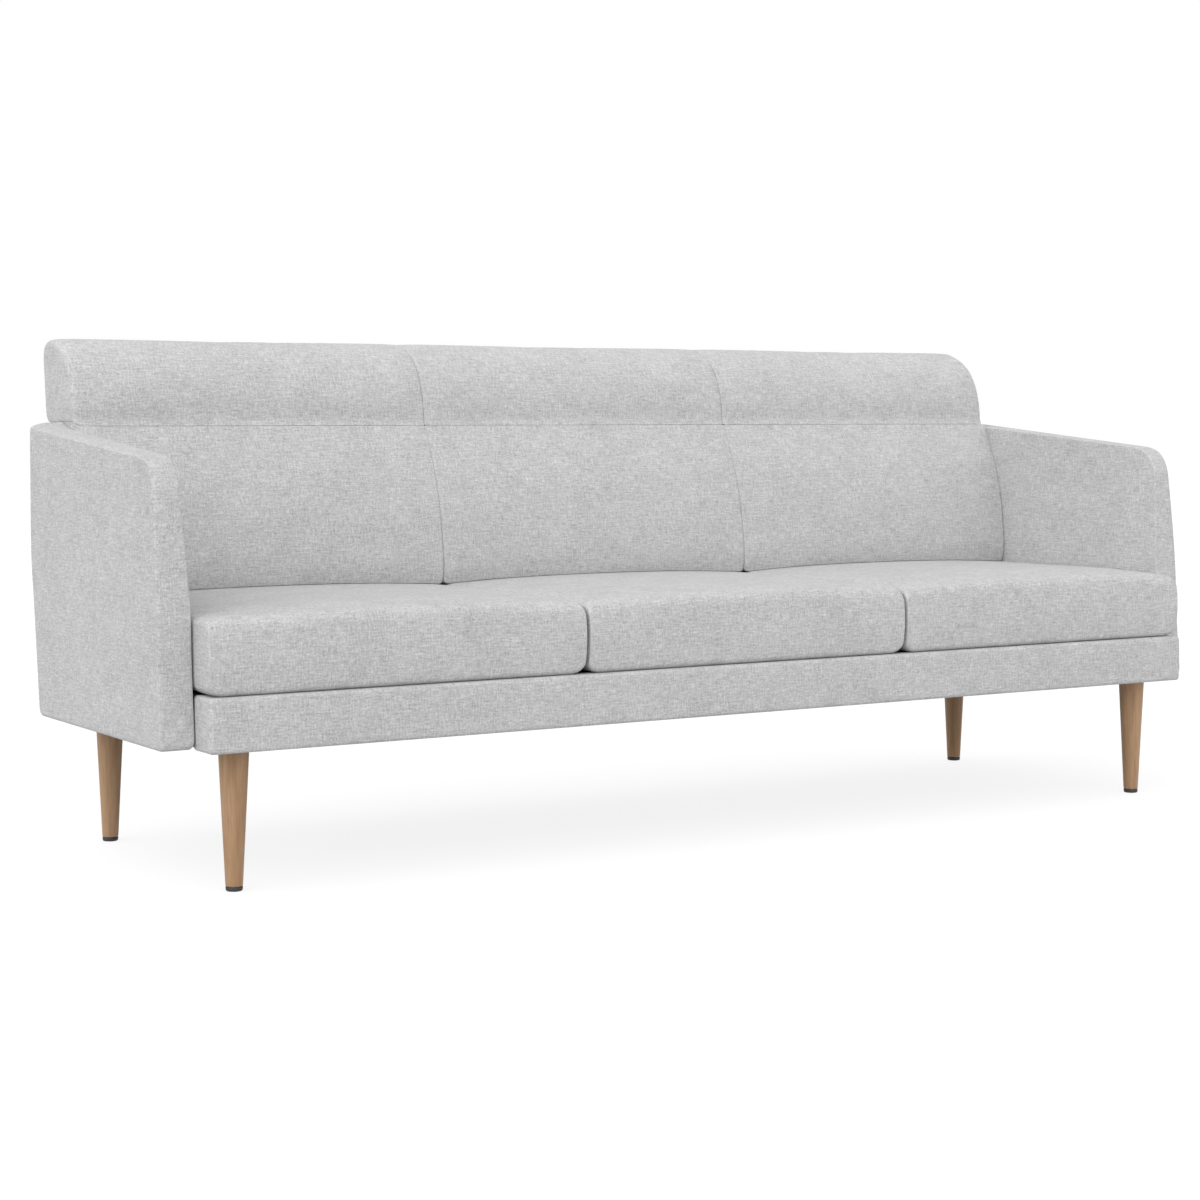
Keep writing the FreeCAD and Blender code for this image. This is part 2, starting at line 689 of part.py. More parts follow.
def head_cushion(x0, x1):
    """Bolster with a large round upper front, slipped over the top of the back frame."""
    foot = Vector(0, pad_rear(SEAM_Z) - BACK_SEAM_T, SEAM_Z)
    brow = Vector(0, foot.y + HEAD_FRONT_LEAN, SEAM_Z + HEAD_FRONT_RISE)
    crown = Vector(0, REAR - HEAD_CROWN_INSET, HEIGHT)
    front_bow = Vector(0, foot.y + HEAD_FRONT_LEAN * HEAD_FRONT_HALFWAY, SEAM_Z + HEAD_FRONT_RISE / 2)
    chord = crown - brow
    normal = Vector(0, -chord.z, chord.y)
    normal.normalize()
    shoulder = brow + chord * 0.5 + normal * HEAD_CROWN_BOW
    rear_top = Vector(0, REAR, HEAD_REAR_Z)
    top_end = Vector(0, REAR - HEAD_TOP_REAR_R, HEIGHT)
    halfway = math.sqrt(0.5)
    turn = Vector(0, REAR - HEAD_TOP_REAR_R * (1 - halfway), HEAD_REAR_Z + HEAD_TOP_REAR_R * halfway)
    low_z = SEAM_Z + HEAD_BOTTOM_REAR_R
    rear_low = Vector(0, head_rear(low_z), low_z)
    under_end = Vector(0, rear_low.y - HEAD_BOTTOM_REAR_R, SEAM_Z)
    under = Vector(0, rear_low.y - HEAD_BOTTOM_REAR_R * (1 - halfway),
                   SEAM_Z + HEAD_BOTTOM_REAR_R * (1 - halfway))
    wire = Part.Wire([
        Part.Arc(foot, front_bow, brow).toShape(),
        Part.Arc(brow, shoulder, crown).toShape(),
        Part.LineSegment(crown, top_end).toShape(),
        Part.Arc(top_end, turn, rear_top).toShape(),
        Part.LineSegment(rear_top, rear_low).toShape(),
        Part.Arc(rear_low, under, under_end).toShape(),
        Part.LineSegment(under_end, foot).toShape(),
    ])
    body = prism(wire, x0, x1)
    reach = COVERED_X + POCKET_CLEARANCE
    pocket = raked_slab(lambda z: frame_front(z) - POCKET_CLEARANCE,
                        lambda z: frame_rear(z) + POCKET_CLEARANCE,
                        SEAM_Z - OVERCUT, FRAME_TOP + POCKET_CLEARANCE, -reach, reach)
    return body.cut(pocket)


def in_each_seat(make, name, gap):
    """One cushion per seat, from arm to arm."""
    names = ["left", "middle", "right"] if SEATS == 3 else [str(i + 1) for i in range(SEATS)]
    nodes = {}
    for i, side in enumerate(names):
        x0 = -INNER_X + SEAT_PITCH * i + gap / 2
        x1 = x0 + SEAT_PITCH - gap
        nodes[name + "_" + side] = [make(x0, x1)]
    return nodes


# ---------------------------------------------------------------- the sofa

def build():
    nodes = {
        "front_rail": [front_rail()],
        "rear_rail": [rear_rail()],
        "side_rail_right": [side_rail_right()],
        "side_rail_left": [mirror_x(side_rail_right())],
        "rear_battens": rear_battens(),
        "corner_blocks": corner_blocks(),
        "webbing_front_to_back": webbing_front_to_back(),
        "webbing_side_to_side": webbing_side_to_side(),
        "seat_deck": [seat_deck()],
        "base_cover": [base_cover()],
        "dust_cover": [dust_cover()],
        "legs_front": at_legs(leg, "front"),
        "legs_rear": at_legs(leg, "rear"),
        "glides": at_legs(glide, ""),
        "leg_plates": at_legs(leg_plate, ""),
        "leg_bolts": at_legs(leg_bolt, ""),
        "arm_frame_right": [arm_frame_right()],
        "arm_frame_left": [mirror_x(arm_frame_right())],
        "arm_cover_right": [arm_cover_right()],
        "arm_cover_left": [mirror_x(arm_cover_right())],
        "arm_bolts": arm_bolts(),
        "back_bottom_rail": [back_bottom_rail()],
        "back_top_rail": [back_top_rail()],
        "back_mid_rails": back_mid_rails(),
        "back_webbing": back_webbing(),
        "back_bolts": back_bolts(),
        "outside_back": [outside_back()],
        "back_facing_right": [back_facing_right()],
        "back_facing_left": [mirror_x(back_facing_right())],
    }
    for i, x in enumerate(seam_positions()):
        nodes["cross_rail_" + str(i + 1)] = [cross_rail(x)]
    for i, x in enumerate(post_positions()):
        nodes["back_post_" + str(i + 1)] = [back_post(x)]
    nodes.update(in_each_seat(seat_cushion, "seat_cushion", CUSHION_GAP))
    nodes.update(in_each_seat(back_cushion, "back_cushion", 0.0))
    nodes.update(in_each_seat(head_cushion, "head_cushion", 0.0))
    return nodes


def main():
    os.makedirs("parts", exist_ok=True)
    for name, solids in build().items():
        shape = solids[0] if len(solids) == 1 else Part.makeCompound(solids)
        shape.exportStep("parts/" + name + ".step")


main()
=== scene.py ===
import math

import bmesh
import bpy
import numpy as np
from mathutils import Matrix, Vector


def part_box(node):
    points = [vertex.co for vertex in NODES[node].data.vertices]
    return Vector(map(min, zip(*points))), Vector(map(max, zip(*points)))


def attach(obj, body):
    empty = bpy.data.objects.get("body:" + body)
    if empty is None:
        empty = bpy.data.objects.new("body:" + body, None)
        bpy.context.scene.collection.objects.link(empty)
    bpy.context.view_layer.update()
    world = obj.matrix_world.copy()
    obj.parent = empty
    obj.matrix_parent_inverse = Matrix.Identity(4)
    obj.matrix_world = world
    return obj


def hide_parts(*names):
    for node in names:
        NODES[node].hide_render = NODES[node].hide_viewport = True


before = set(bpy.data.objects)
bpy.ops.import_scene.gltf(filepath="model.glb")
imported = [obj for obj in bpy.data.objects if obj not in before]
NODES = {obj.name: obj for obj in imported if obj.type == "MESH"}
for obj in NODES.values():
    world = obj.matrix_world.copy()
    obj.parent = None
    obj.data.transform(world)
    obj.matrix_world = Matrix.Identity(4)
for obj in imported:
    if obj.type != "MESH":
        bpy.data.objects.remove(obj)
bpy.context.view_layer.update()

# A three-seat sofa. Shapes are worked out in millimetres, in the CAD's frame, and become metres
# when a mesh is made.
MM = 0.001
QUARTER = math.pi / 2
SIDES = (("left", -1), ("right", 1))


def node_box(name):
    """Lowest and highest corner of a CAD node, in millimetres."""
    low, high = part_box(name)
    return np.array(low) / MM, np.array(high) / MM


# ------------ sizes read from the frame

ARM_LOW, ARM_HIGH = node_box("arm_cover_right")
SEAT_LOW, SEAT_HIGH = node_box("seat_cushion_middle")
BACK_LOW, BACK_HIGH = node_box("back_cushion_middle")
HEAD_LOW, HEAD_HIGH = node_box("head_cushion_middle")
BASE_LOW, BASE_HIGH = node_box("base_cover")
OUT_LOW, OUT_HIGH = node_box("outside_back")
DECK_LOW, DECK_HIGH = node_box("seat_deck")
DUST_LOW, DUST_HIGH = node_box("dust_cover")
INNER_X = ARM_LOW[0]
SEAM_Z = HEAD_LOW[2]


# ------------ lines and curves

def straight(a, b):
    return np.array([a, b], float)


def runs_along(line):
    """Distance along a line from its start to each of its points."""
    steps = np.linalg.norm(np.diff(line, axis=0), axis=1)
    return np.concatenate([[0.0], np.cumsum(steps)])


def length_of(line):
    return float(np.linalg.norm(np.diff(line, axis=0), axis=1).sum())


def at_lengths(line, lengths):
    """Points of a line at the given distances from its start."""
    run = runs_along(line)
    return np.column_stack([np.interp(lengths, run, line[:, k]) for k in range(line.shape[1])])


def resampled(line, count):
    """The same line with count points, evenly spaced."""
    return at_lengths(line, np.linspace(0, length_of(line), count))


def spline(points, count):
    """Smooth line through points (Catmull-Rom), with count steps from each to the next."""
    p = np.array(points, float)
    p = np.vstack([2 * p[0] - p[1], p, 2 * p[-1] - p[-2]])
    out = []
    for i in range(1, len(p) - 2):
        a, b, c, d = p[i - 1], p[i], p[i + 1], p[i + 2]
        for t in np.linspace(0, 1, count, endpoint=False):
            out.append(0.5 * ((2 * b) + (c - a) * t + (2 * a - 5 * b + 4 * c - d) * t ** 2
                              + (3 * b - a - 3 * c + d) * t ** 3))
    out.append(p[-2])
    return np.array(out)


def ramp(value, start, reach):
    """Rises smoothly from 0 at start to 1 at start + reach."""
    t = np.clip((value - start) / reach, 0, 1)
    return t * t * (3 - 2 * t)


def quarter_round(distance, reach):
    """Falls along a quarter circle from 1 at distance 0 to 0 at reach."""
    return 1 - np.sqrt(1 - np.clip(1 - distance / reach, 0, 1) ** 2)


def round_from(front, rear_low, rear_high):
    """Bottom, front, top and rear lines of a profile whose front alone is curved."""
    return [straight(rear_low, front[0]), front, straight(front[-1], rear_high),
            straight(rear_high, rear_low)]


def four_sides(lines, setbacks, counts, corner=6):
    """Closed profile of four sides (bottom, front, top, rear) with softened corners.

    Each line ends where the next starts. setbacks are the distances from each of those corners
    at which its rounding begins, and counts the steps in each side between roundings. corner is
    the even number of steps round a corner, of which each side takes half."""
    half = corner // 2
    trimmed = []
    for i, line in enumerate(lines):
        lengths = np.linspace(setbacks[i - 1], length_of(line) - setbacks[i], counts[i] + 1)
        trimmed.append(at_lengths(line, lengths))
    curves = []
    t = np.linspace(0, 1, corner + 1)[:, None]
    for i, line in enumerate(lines):
        before, after = trimmed[i][-1], trimmed[(i + 1) % 4][0]
        curves.append(before * (1 - t) ** 2 + 2 * line[-1] * t * (1 - t) + after * t ** 2)
    return [np.vstack([curves[i - 1][half:-1], trimmed[i], curves[i][1:half + 1]])
            for i in range(4)]


# ------------ meshes

WEAVE = "weave"  # name of the layer that holds a mesh's weave coordinates
SAME_POINT = 2e-5  # points closer than this, in metres, are one


def add_object(name, data):
    obj = bpy.data.objects.new(name, data)
    bpy.context.scene.collection.objects.link(obj)
    return obj


def points_of(mesh):
    """A mesh's points, in metres."""
    points = np.empty(len(mesh.vertices) * 3)
    mesh.vertices.foreach_get("co", points)
    return points.reshape(-1, 3)


def place_points(mesh, points):
    """Puts a mesh's points at places given in millimetres."""
    mesh.vertices.foreach_set("co", (points * MM).ravel())
    mesh.update()


def declare(piece, node, body="sofa"):
    """Says what a piece rides on, and hides the CAD node that it stands for."""
    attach(piece, body)
    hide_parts(node)


class Shell:
    """Gathers patches of quads with weave coordinates, and makes one mesh of them."""

    def __init__(self):
        self.points = []
        self.faces = []
        self.weave = []
        self.count = 0

    def patch(self, grid, weave):
        grid = np.asarray(grid, float)
        n, m = grid.shape[:2]
        self.points.append(grid.reshape(-1, 3))
        index = self.count + np.arange(n * m).reshape(n, m)
        self.count += n * m
        quads = np.stack([index[:-1, :-1], index[1:, :-1], index[1:, 1:], index[:-1, 1:]], -1)
        self.faces.append(quads.reshape(-1, 4))
        w = np.asarray(weave, float)
        loops = np.stack([w[:-1, :-1], w[1:, :-1], w[1:, 1:], w[:-1, 1:]], 2)
        self.weave.append(loops.reshape(-1, 2))

    def make(self, name, material, smooth=True):
        mesh = bpy.data.meshes.new(name)
        points = (np.vstack(self.points) * MM).tolist()
        mesh.from_pydata(points, [], np.vstack(self.faces).tolist())
        layer = mesh.uv_layers.new(name=WEAVE)
        layer.data.foreach_set("uv", (np.vstack(self.weave) * MM).ravel())
        work = bmesh.new()
        work.from_mesh(mesh)
        bmesh.ops.remove_doubles(work, verts=work.verts, dist=SAME_POINT)
        bmesh.ops.dissolve_degenerate(work, edges=work.edges, dist=1e-6)
        bmesh.ops.recalc_face_normals(work, faces=work.faces)
        work.to_mesh(mesh)
        work.free()
        mesh.materials.append(material)
        if smooth:
            mesh.shade_smooth()
        return add_object(name, mesh)


def coons(bottom, front, top, rear):
    """Grid of points inside four sides, with opposite sides of equal count."""
    top = top[::-1]
    rear = rear[::-1]
    u = np.linspace(0, 1, len(bottom))[:, None, None]
    v = np.linspace(0, 1, len(front))[None, :, None]
    ruled_v = (1 - v) * bottom[:, None] + v * top[:, None]
    ruled_u = (1 - u) * rear[None] + u * front[None]
    corners = ((1 - u) * (1 - v) * bottom[0] + u * (1 - v) * bottom[-1]
               + (1 - u) * v * top[0] + u * v * top[-1])
    return ruled_v + ruled_u - corners


FAR = 1e9  # a distance from the end faces beyond every rounding
DIAGONAL = 0.7  # share of a groove's depth that goes each way, along X and inwards
# Shares of a form's X by which the weave of its sides and ends is shifted, so that neighbours
# don't show the same stretch of cloth.
SIDE_SHIFT = 1.37
END_SHIFT = 0.37


def swept_form(sides, x0, x1, insets, rear_line=np.zeros_like, step=12.0, bulge=(0.0, 0.0),
               groove=0.0, end_steps=7, shape=None):
    """Form with a constant YZ profile from x0 to x1, its ends rounded and its end faces bulging.

    insets holds, for each end, the roundings (depth, reach) of the bottom, front, top and rear:
    how far the side pulls in, and from how far. rear_line gives the Y at height z of the plane
    that the profile leans along. bulge is how far each end face swells, and groove how deep a
    line is drawn in round each end's rounding. shape moves the finished points."""
    ring = np.vstack([s[:-1] for s in sides] + [sides[0][:1]])
    spans = np.cumsum([0] + [len(s) - 1 for s in sides])
    heights = ring[:, 1]
    depths = rear_line(heights) - ring[:, 0]
    low_d, high_d = depths.min(), depths.max()
    low_z, high_z = heights.min(), heights.max()

    def section(distance, roundings):
        bottom, front, top, rear = (deep * quarter_round(distance, reach)
                                    for deep, reach in roundings)
        d = low_d + rear + (depths - low_d) * (high_d - low_d - rear - front) / (high_d - low_d)
        z = low_z + bottom + (heights - low_z) * (high_z - low_z - bottom - top) / (high_z - low_z)
        return np.column_stack([rear_line(z) - d, z])

    def end_rows(face_x, inwards, roundings):
        """Rows from an end face inwards, close together where its rounding turns fastest."""
        reach = max(r for _, r in roundings)
        rows = []
        for k, angle in enumerate(np.linspace(QUARTER, 0, end_steps + 1)[:-1]):
            distance = reach * (1 - np.sin(angle))
            dip = groove if k == end_steps // 2 else 0.0
            x = face_x + inwards * distance + inwards * DIAGONAL * dip
            rows.append((x, distance, roundings, dip))
        return rows, face_x + inwards * reach

    left, first_x = end_rows(x0, 1, insets[0])
    right, last_x = end_rows(x1, -1, insets[1])
    count = max(2, int(round((last_x - first_x) / step)))
    middle = [(x, FAR, insets[0], 0.0) for x in np.linspace(first_x, last_x, count + 1)]
    grid = []
    for x, distance, roundings, dip in left + middle + right[::-1]:
        points = section(distance, roundings)
        if dip:
            out = points - points.mean(0)
            points = points - out / np.linalg.norm(out, axis=1)[:, None] * dip * DIAGONAL
        grid.append(np.column_stack([np.full(len(points), x), points]))
    grid = np.array(grid)

    along = np.linalg.norm(np.diff(grid, axis=0), axis=2).cumsum(axis=0)
    along = np.vstack([np.zeros((1, grid.shape[1])), along])
    half = len(grid) // 2
    along += grid[half, :, 0] - along[half]
    around = np.broadcast_to(runs_along(ring), grid.shape[:2])
    shell = Shell()
    shell.patch(grid, np.stack([along + SIDE_SHIFT * x0, around], -1))
    for end, outwards, row, swell in ((x0, -1, grid[0], bulge[0]), (x1, 1, grid[-1], bulge[1])):
        face = coons(*(row[spans[i]:spans[i + 1] + 1, 1:] for i in range(4)))
        u = np.linspace(-1, 1, face.shape[0])[:, None]
        v = np.linspace(-1, 1, face.shape[1])[None]
        x = end + outwards * swell * (1 - u ** 2) * (1 - v ** 2)
        shell.patch(np.dstack([x, face]), face + [[[end * END_SHIFT, 0.0]]])
    if shape:
        shell.points = [shape(p.copy()) for p in shell.points]
    return shell


# ------------ cloth

CLOTH = {"quality": 4, "mass": 0.3, "use_pressure": True, "uniform_pressure_force": 4.0,
         "tension_stiffness": 15, "compression_stiffness": 15, "shear_stiffness": 5,
         "bending_stiffness": 2.0}
CLOTH_FRAMES = 20


def swollen(mesh):
    """Where a short cloth simulation under pressure takes a mesh's points."""
    scene = bpy.context.scene
    copy = add_object("swelling", mesh.copy())
    cloth = copy.modifiers.new("cloth", "CLOTH")
    for name, value in CLOTH.items():
        setattr(cloth.settings, name, value)
    cloth.settings.effector_weights.gravity = 0.0
    cloth.collision_settings.use_collision = False
    cloth.point_cache.frame_start = 1
    cloth.point_cache.frame_end = CLOTH_FRAMES
    for f in range(1, CLOTH_FRAMES + 1):
        scene.frame_set(f)
    points = points_of(copy.evaluated_get(bpy.context.evaluated_depsgraph_get()).data)
    bpy.data.objects.remove(copy)
    scene.frame_set(1)
    return points


def inflate(mesh, centre, cap, limits, ease=None):
    """Swells a pad's mesh with a cloth simulation and applies the result.

    cap is the most that a point may move, in millimetres. limits keeps the points, given in
    millimetres, clear of the neighbours. ease gives each point's share of the swelling, less
    where a seam holds the cloth down. Both are told the pad's centre."""
    points = points_of(mesh)
    shift = swollen(mesh) - points
    size = np.linalg.norm(shift, axis=1)
    # A soft cap: points that move little keep their way, and none passes the cap.
    share = cap * MM * np.tanh(size / (cap * MM)) / np.maximum(size, 1e-9)
    if ease:
        share = share * ease(points / MM, centre)
    points = points + shift * share[:, None]
    place_points(mesh, limits(points / MM, centre))


def subdivide(obj):
    """One applied subdivision."""
    modifier = obj.modifiers.new("smooth", "SUBSURF")
    modifier.levels = 1
    modifier.render_levels = 1
    graph = bpy.context.evaluated_depsgraph_get()
    mesh = bpy.data.meshes.new_from_object(obj.evaluated_get(graph))
    obj.modifiers.clear()
    obj.data = mesh
    mesh.shade_smooth()


def make_pad(shell, name, centre, cap, limits, ease=None):
    """Pad from a shell: swollen, kept within its limits and subdivided."""
    obj = shell.make(name, FABRIC)
    inflate(obj.data, centre, cap, limits, ease)
    subdivide(obj)
    return obj


# ------------ node materials

class Net:
    """Short ways to add and join the shader nodes of a new material or world."""

    def __init__(self, owner):
        owner.use_nodes = True
        self.owner = owner
        self.nodes = owner.node_tree.nodes
        self.links = owner.node_tree.links

    def put(self, socket, value):
        if isinstance(value, bpy.types.NodeSocket):
            self.links.new(value, socket)
        else:
            socket.default_value = value

    def add(self, kind, output, inputs, **settings):
        """New node with its settings made, and its inputs, by name or number, set or joined."""
        node = self.nodes.new("ShaderNode" + kind)
        for name, value in settings.items():
            setattr(node, name, value)
        for socket, value in inputs.items():
            self.put(node.inputs[socket], value)
        return node.outputs[output]

    def shade(self, inputs):
        """Sets or joins inputs of the material's own shader, and returns the material."""
        for socket, value in inputs.items():
            self.put(self.nodes["Principled BSDF"].inputs[socket], value)
        return self.owner

    def math(self, operation, a, b, clamp=False):
        return self.add("Math", 0, {0: a, 1: b}, operation=operation, use_clamp=clamp)

    def total(self, value, *others):
        for other in others:
            value = self.math("ADD", value, other)
        return value

    def times(self, a, b):
        return self.math("MULTIPLY", a, b)

    def stretched(self, vector, factors):
        return self.add("VectorMath", 0, {0: vector, 1: factors}, operation="MULTIPLY")

    def scaled(self, colour, factor):
        """Colour times a grey factor."""
        return self.add("VectorMath", 0, {0: colour, "Scale": factor}, operation="SCALE")

    def noise(self, vector, scale, detail=2.0, roughness=0.5, distortion=0.0):
        inputs = {"Vector": vector, "Scale": scale, "Detail": detail, "Roughness": roughness,
                  "Distortion": distortion}
        return self.add("TexNoise", "Fac", inputs)

    def wave(self, vector, scale, direction):
        return self.add("TexWave", "Fac", {"Vector": vector, "Scale": scale},
                        bands_direction=direction)

    def spread(self, value, low, high, out_low=0.0, out_high=1.0, kind="LINEAR"):
        inputs = {"Value": value, "From Min": low, "From Max": high, "To Min": out_low,
                  "To Max": out_high}
        return self.add("MapRange", "Result", inputs, interpolation_type=kind)

    def mix(self, share, a, b):
        # Inputs 6 and 7 and output 2 are the colours.
        return self.add("Mix", 2, {"Factor": share, 6: a, 7: b}, data_type="RGBA")

    def place(self):
        return self.add("TexCoord", "Object", {})

    def weave(self):
        return self.add("UVMap", 0, {}, uv_map=WEAVE)

    def bump(self, height, distance, strength):
        return self.add("Bump", 0, {"Strength": strength, "Distance": distance, "Height": height})

    def rays(self, *kinds):
        """1 for rays of the given kinds and 0 for others."""
        path = self.nodes.new("ShaderNodeLightPath")
        share = path.outputs[kinds[0]]
        for kind in kinds[1:]:
            share = self.math("ADD", share, path.outputs[kind], clamp=True)
        return share


def weave_fabric(name, base):
    """Light melange wool cloth: a plain weave whose threads change shade along their length.

    It reads the weave coordinates laid out with its mesh, in metres."""
    net = Net(bpy.data.materials.new(name))
    cloth, place = net.weave(), net.place()
    along, across = 58, 390     # changes of shade along a thread and threads, in a metre
    weft = net.noise(net.stretched(cloth, (along, across, 1)), 1, roughness=0.6)
    warp = net.noise(net.stretched(cloth, (across, along, 1)), 1, roughness=0.6)
    slub = net.noise(net.stretched(cloth, (18, 190, 1)), 1, detail=1.0)
    fleck = net.noise(cloth, 330, roughness=0.6)
    blotch = net.noise(place, 24, detail=3.0, roughness=0.6)
    cloud = net.noise(place, 5.0)
    factor = net.total(net.spread(weft, 0.3, 0.7, -0.18, 0.10),
                       net.spread(warp, 0.3, 0.7, -0.18, 0.10),
                       net.spread(fleck, 0.3, 0.7, -0.21, 0.14),
                       net.spread(slub, 0.4, 0.65, -0.05, 0.01),
                       net.spread(blotch, 0.3, 0.7, -0.05, 0.05),
                       net.spread(cloud, 0.3, 0.7, -0.02, 0.02), 1.1)
    yarn = net.times(net.wave(cloth, 160, "X"), net.wave(cloth, 160, "Y"))
    hairs = net.noise(cloth, 700, detail=3.0, roughness=0.7)
    height = net.total(net.times(yarn, 0.5), net.times(hairs, 0.6),
                       net.times(net.total(weft, warp), 0.6))
    return net.shade({"Base Color": net.scaled(base, factor),
                      "Normal": net.bump(height, 0.0007, 0.55),
                      "Roughness": net.spread(hairs, 0.3, 0.7, 0.88, 1.0),
                      "Specular IOR Level": 0.12, "Sheen Weight": 0.1, "Sheen Roughness": 0.6})


def grained_wood(name, colours, grain, roughness):
    """Timber with its grain along one axis: grain is the (x, y, z) stretch of the pattern."""
    net = Net(bpy.data.materials.new(name))
    along = net.stretched(net.place(), grain)
    rings = net.noise(along, 26, detail=3.0, roughness=0.55, distortion=0.6)
    lines = net.noise(along, 160, detail=3.0, roughness=0.65)
    flecks = net.noise(along, 620, roughness=0.6)
    share = net.total(net.times(rings, 0.55), net.times(lines, 0.45))
    colour = net.mix(net.spread(share, 0.36, 0.64, kind="SMOOTHSTEP"),
                     *colours)
    pore = net.spread(flecks, 0.56, 0.72, 0.0, 0.5)
    colour = net.scaled(colour, net.math("SUBTRACT", 1.0, net.times(pore, 0.35)))
    height = net.math("SUBTRACT", net.times(lines, 0.5), pore)
    return net.shade({"Base Color": colour, "Normal": net.bump(height, 0.0003, 0.5),
                      "Roughness": net.spread(lines, 0.3, 0.7, roughness - 0.06,
                                              roughness + 0.08), "Specular IOR Level": 0.35})


def strap_webbing(name):
    """Dark elastic webbing with fine ribs."""
    net = Net(bpy.data.materials.new(name))
    place = net.place()
    ribs = net.wave(place, 90, "DIAGONAL")
    knit = net.noise(place, 700)
    share = net.total(net.times(ribs, 0.6), net.times(knit, 0.4))
    colour = net.mix(net.spread(share, 0.3, 0.8), (0.05, 0.045, 0.04, 1), (0.16, 0.14, 0.12, 1))
    return net.shade({"Base Color": colour, "Normal": net.bump(share, 0.0005, 0.6),
                      "Roughness": 0.85})


def nonwoven(name, colour):
    """Spun-bonded cloth: short matted fibres with a fine dot pattern."""
    net = Net(bpy.data.materials.new(name))
    place = net.place()
    fibres = net.noise(place, 500, detail=5.0, roughness=0.75, distortion=1.5)
    dots = net.times(net.wave(place, 170, "X"), net.wave(place, 170, "Y"))
    factor = net.total(net.spread(fibres, 0.3, 0.7, 0.7, 1.3),
                       net.spread(dots, 0.6, 1.0, 0.0, -0.25))
    height = net.math("SUBTRACT", fibres, net.times(dots, 0.5))
    return net.shade({"Base Color": net.scaled(colour, factor),
                      "Normal": net.bump(height, 0.0003, 0.6), "Roughness": 0.92})


def zinc_steel(name):
    """Plated steel, a little cloudy, with fine scratches."""
    net = Net(bpy.data.materials.new(name))
    place = net.place()
    cloud = net.noise(place, 60, detail=3.0, roughness=0.6)
    scratches = net.noise(net.stretched(place, (1, 14, 1)), 260)
    colour = net.mix(net.spread(cloud, 0.35, 0.65), (0.5, 0.5, 0.5, 1), (0.62, 0.62, 0.6, 1))
    return net.shade({"Base Color": colour, "Normal": net.bump(scratches, 0.0001, 0.3),
                      "Roughness": net.spread(scratches, 0.3, 0.7, 0.28, 0.45),
                      "Metallic": 1.0})


def moulded_plastic(name):
    """Matt black plastic, worn lighter in places."""
    net = Net(bpy.data.materials.new(name))
    place = net.place()
    grain = net.noise(place, 1500)
    wear = net.noise(place, 90, detail=3.0)
    colour = net.mix(net.spread(wear, 0.4, 0.75), (0.022, 0.023, 0.023, 1),
                     (0.045, 0.046, 0.045, 1))
    return net.shade({"Base Color": colour, "Normal": net.bump(grain, 0.0001, 0.4),
                      "Roughness": net.spread(wear, 0.3, 0.7, 0.42, 0.6)})


FABRIC_GREY = (0.528, 0.528, 0.528)
OAK_COLOURS = ((0.445, 0.278, 0.158, 1), (0.32, 0.188, 0.098, 1))
PINE_COLOURS = ((0.58, 0.44, 0.28, 1), (0.46, 0.33, 0.19, 1))
ALONG = {"x": (0.05, 1, 1), "y": (1, 0.05, 1), "z": (1, 1, 0.05)}

FABRIC = weave_fabric("melange_weave", FABRIC_GREY)
OAK = grained_wood("oiled_oak", OAK_COLOURS, ALONG["z"], 0.5)
TIMBER = {axis: grained_wood("planed_timber_" + axis, PINE_COLOURS, grain, 0.65)
          for axis, grain in ALONG.items()}
WEBBING = strap_webbing("elastic_webbing")
UNDER_CLOTH = nonwoven("non_woven_cloth", (0.05, 0.05, 0.05))
STEEL = zinc_steel("zinc_plated_steel")
PLASTIC = moulded_plastic("matt_black_plastic")

# The materials of the CAD nodes that keep their shape, and of the arm frames, copied below.
CARRIED = {
    TIMBER["x"]: ["front_rail", "rear_rail", "rear_battens", "back_bottom_rail",
                  "back_top_rail", "back_mid_rails", "corner_blocks"],
    TIMBER["y"]: ["side_rail_left", "side_rail_right", "cross_rail_1", "cross_rail_2"],
    TIMBER["z"]: ["back_post_1", "back_post_2", "back_post_3", "back_post_4",
                  "arm_frame_left", "arm_frame_right"],
    WEBBING: ["webbing_front_to_back", "webbing_side_to_side", "back_webbing"],
    STEEL: ["leg_plates", "leg_bolts", "arm_bolts", "back_bolts"],
}
for material, names in CARRIED.items():
    for node in names:
        NODES[node].data.materials.clear()
        NODES[node].data.materials.append(material)


# ------------ planes of the back

TAN_RAKE = math.tan(math.radians(7.1))  # lean of the back
HEAD_TURN = 22.0  # radius of a head cushion's rear top edge


def leaning(y, top):
    """Y, at a height z, of a plane that leans with the back and passes through (y, top)."""
    return lambda z: y - (top - z) * TAN_RAKE


outside_rear = leaning(OUT_HIGH[1], OUT_HIGH[2])
pad_rear = leaning(BACK_HIGH[1], BACK_HIGH[2])
head_rear = leaning(HEAD_HIGH[1], HEAD_HIGH[2] - HEAD_TURN)


# ------------ faces of the arms

ARM_SLIMMED = 5.0  # inner face of an arm's front set back from the CAD's
ARM_TAPER = 13.0  # lean of its inner face, above the seat
ARM_OUTER_TAPER = 3.0  # lean of its outer face at the front


def to_arm_front(y):
    """Share of the way from an arm's rear to its front."""
    return np.clip((ARM_HIGH[1] - y) / (ARM_HIGH[1] - ARM_LOW[1]), 0, 1)


def arm_taper(y, z):
    """How far an arm's inner face is set back: most at the top of the front, least at the rear."""
    return (ARM_SLIMMED * (1 - ramp(y, -290, 90))
            + ARM_TAPER * ramp(z, 400, 260) * (0.3 + 0.7 * to_arm_front(y)))


def arm_outer_taper(y, z):
    """How far its outer face is set back."""
    return ARM_OUTER_TAPER * ramp(z, 330, 360) * to_arm_front(y)


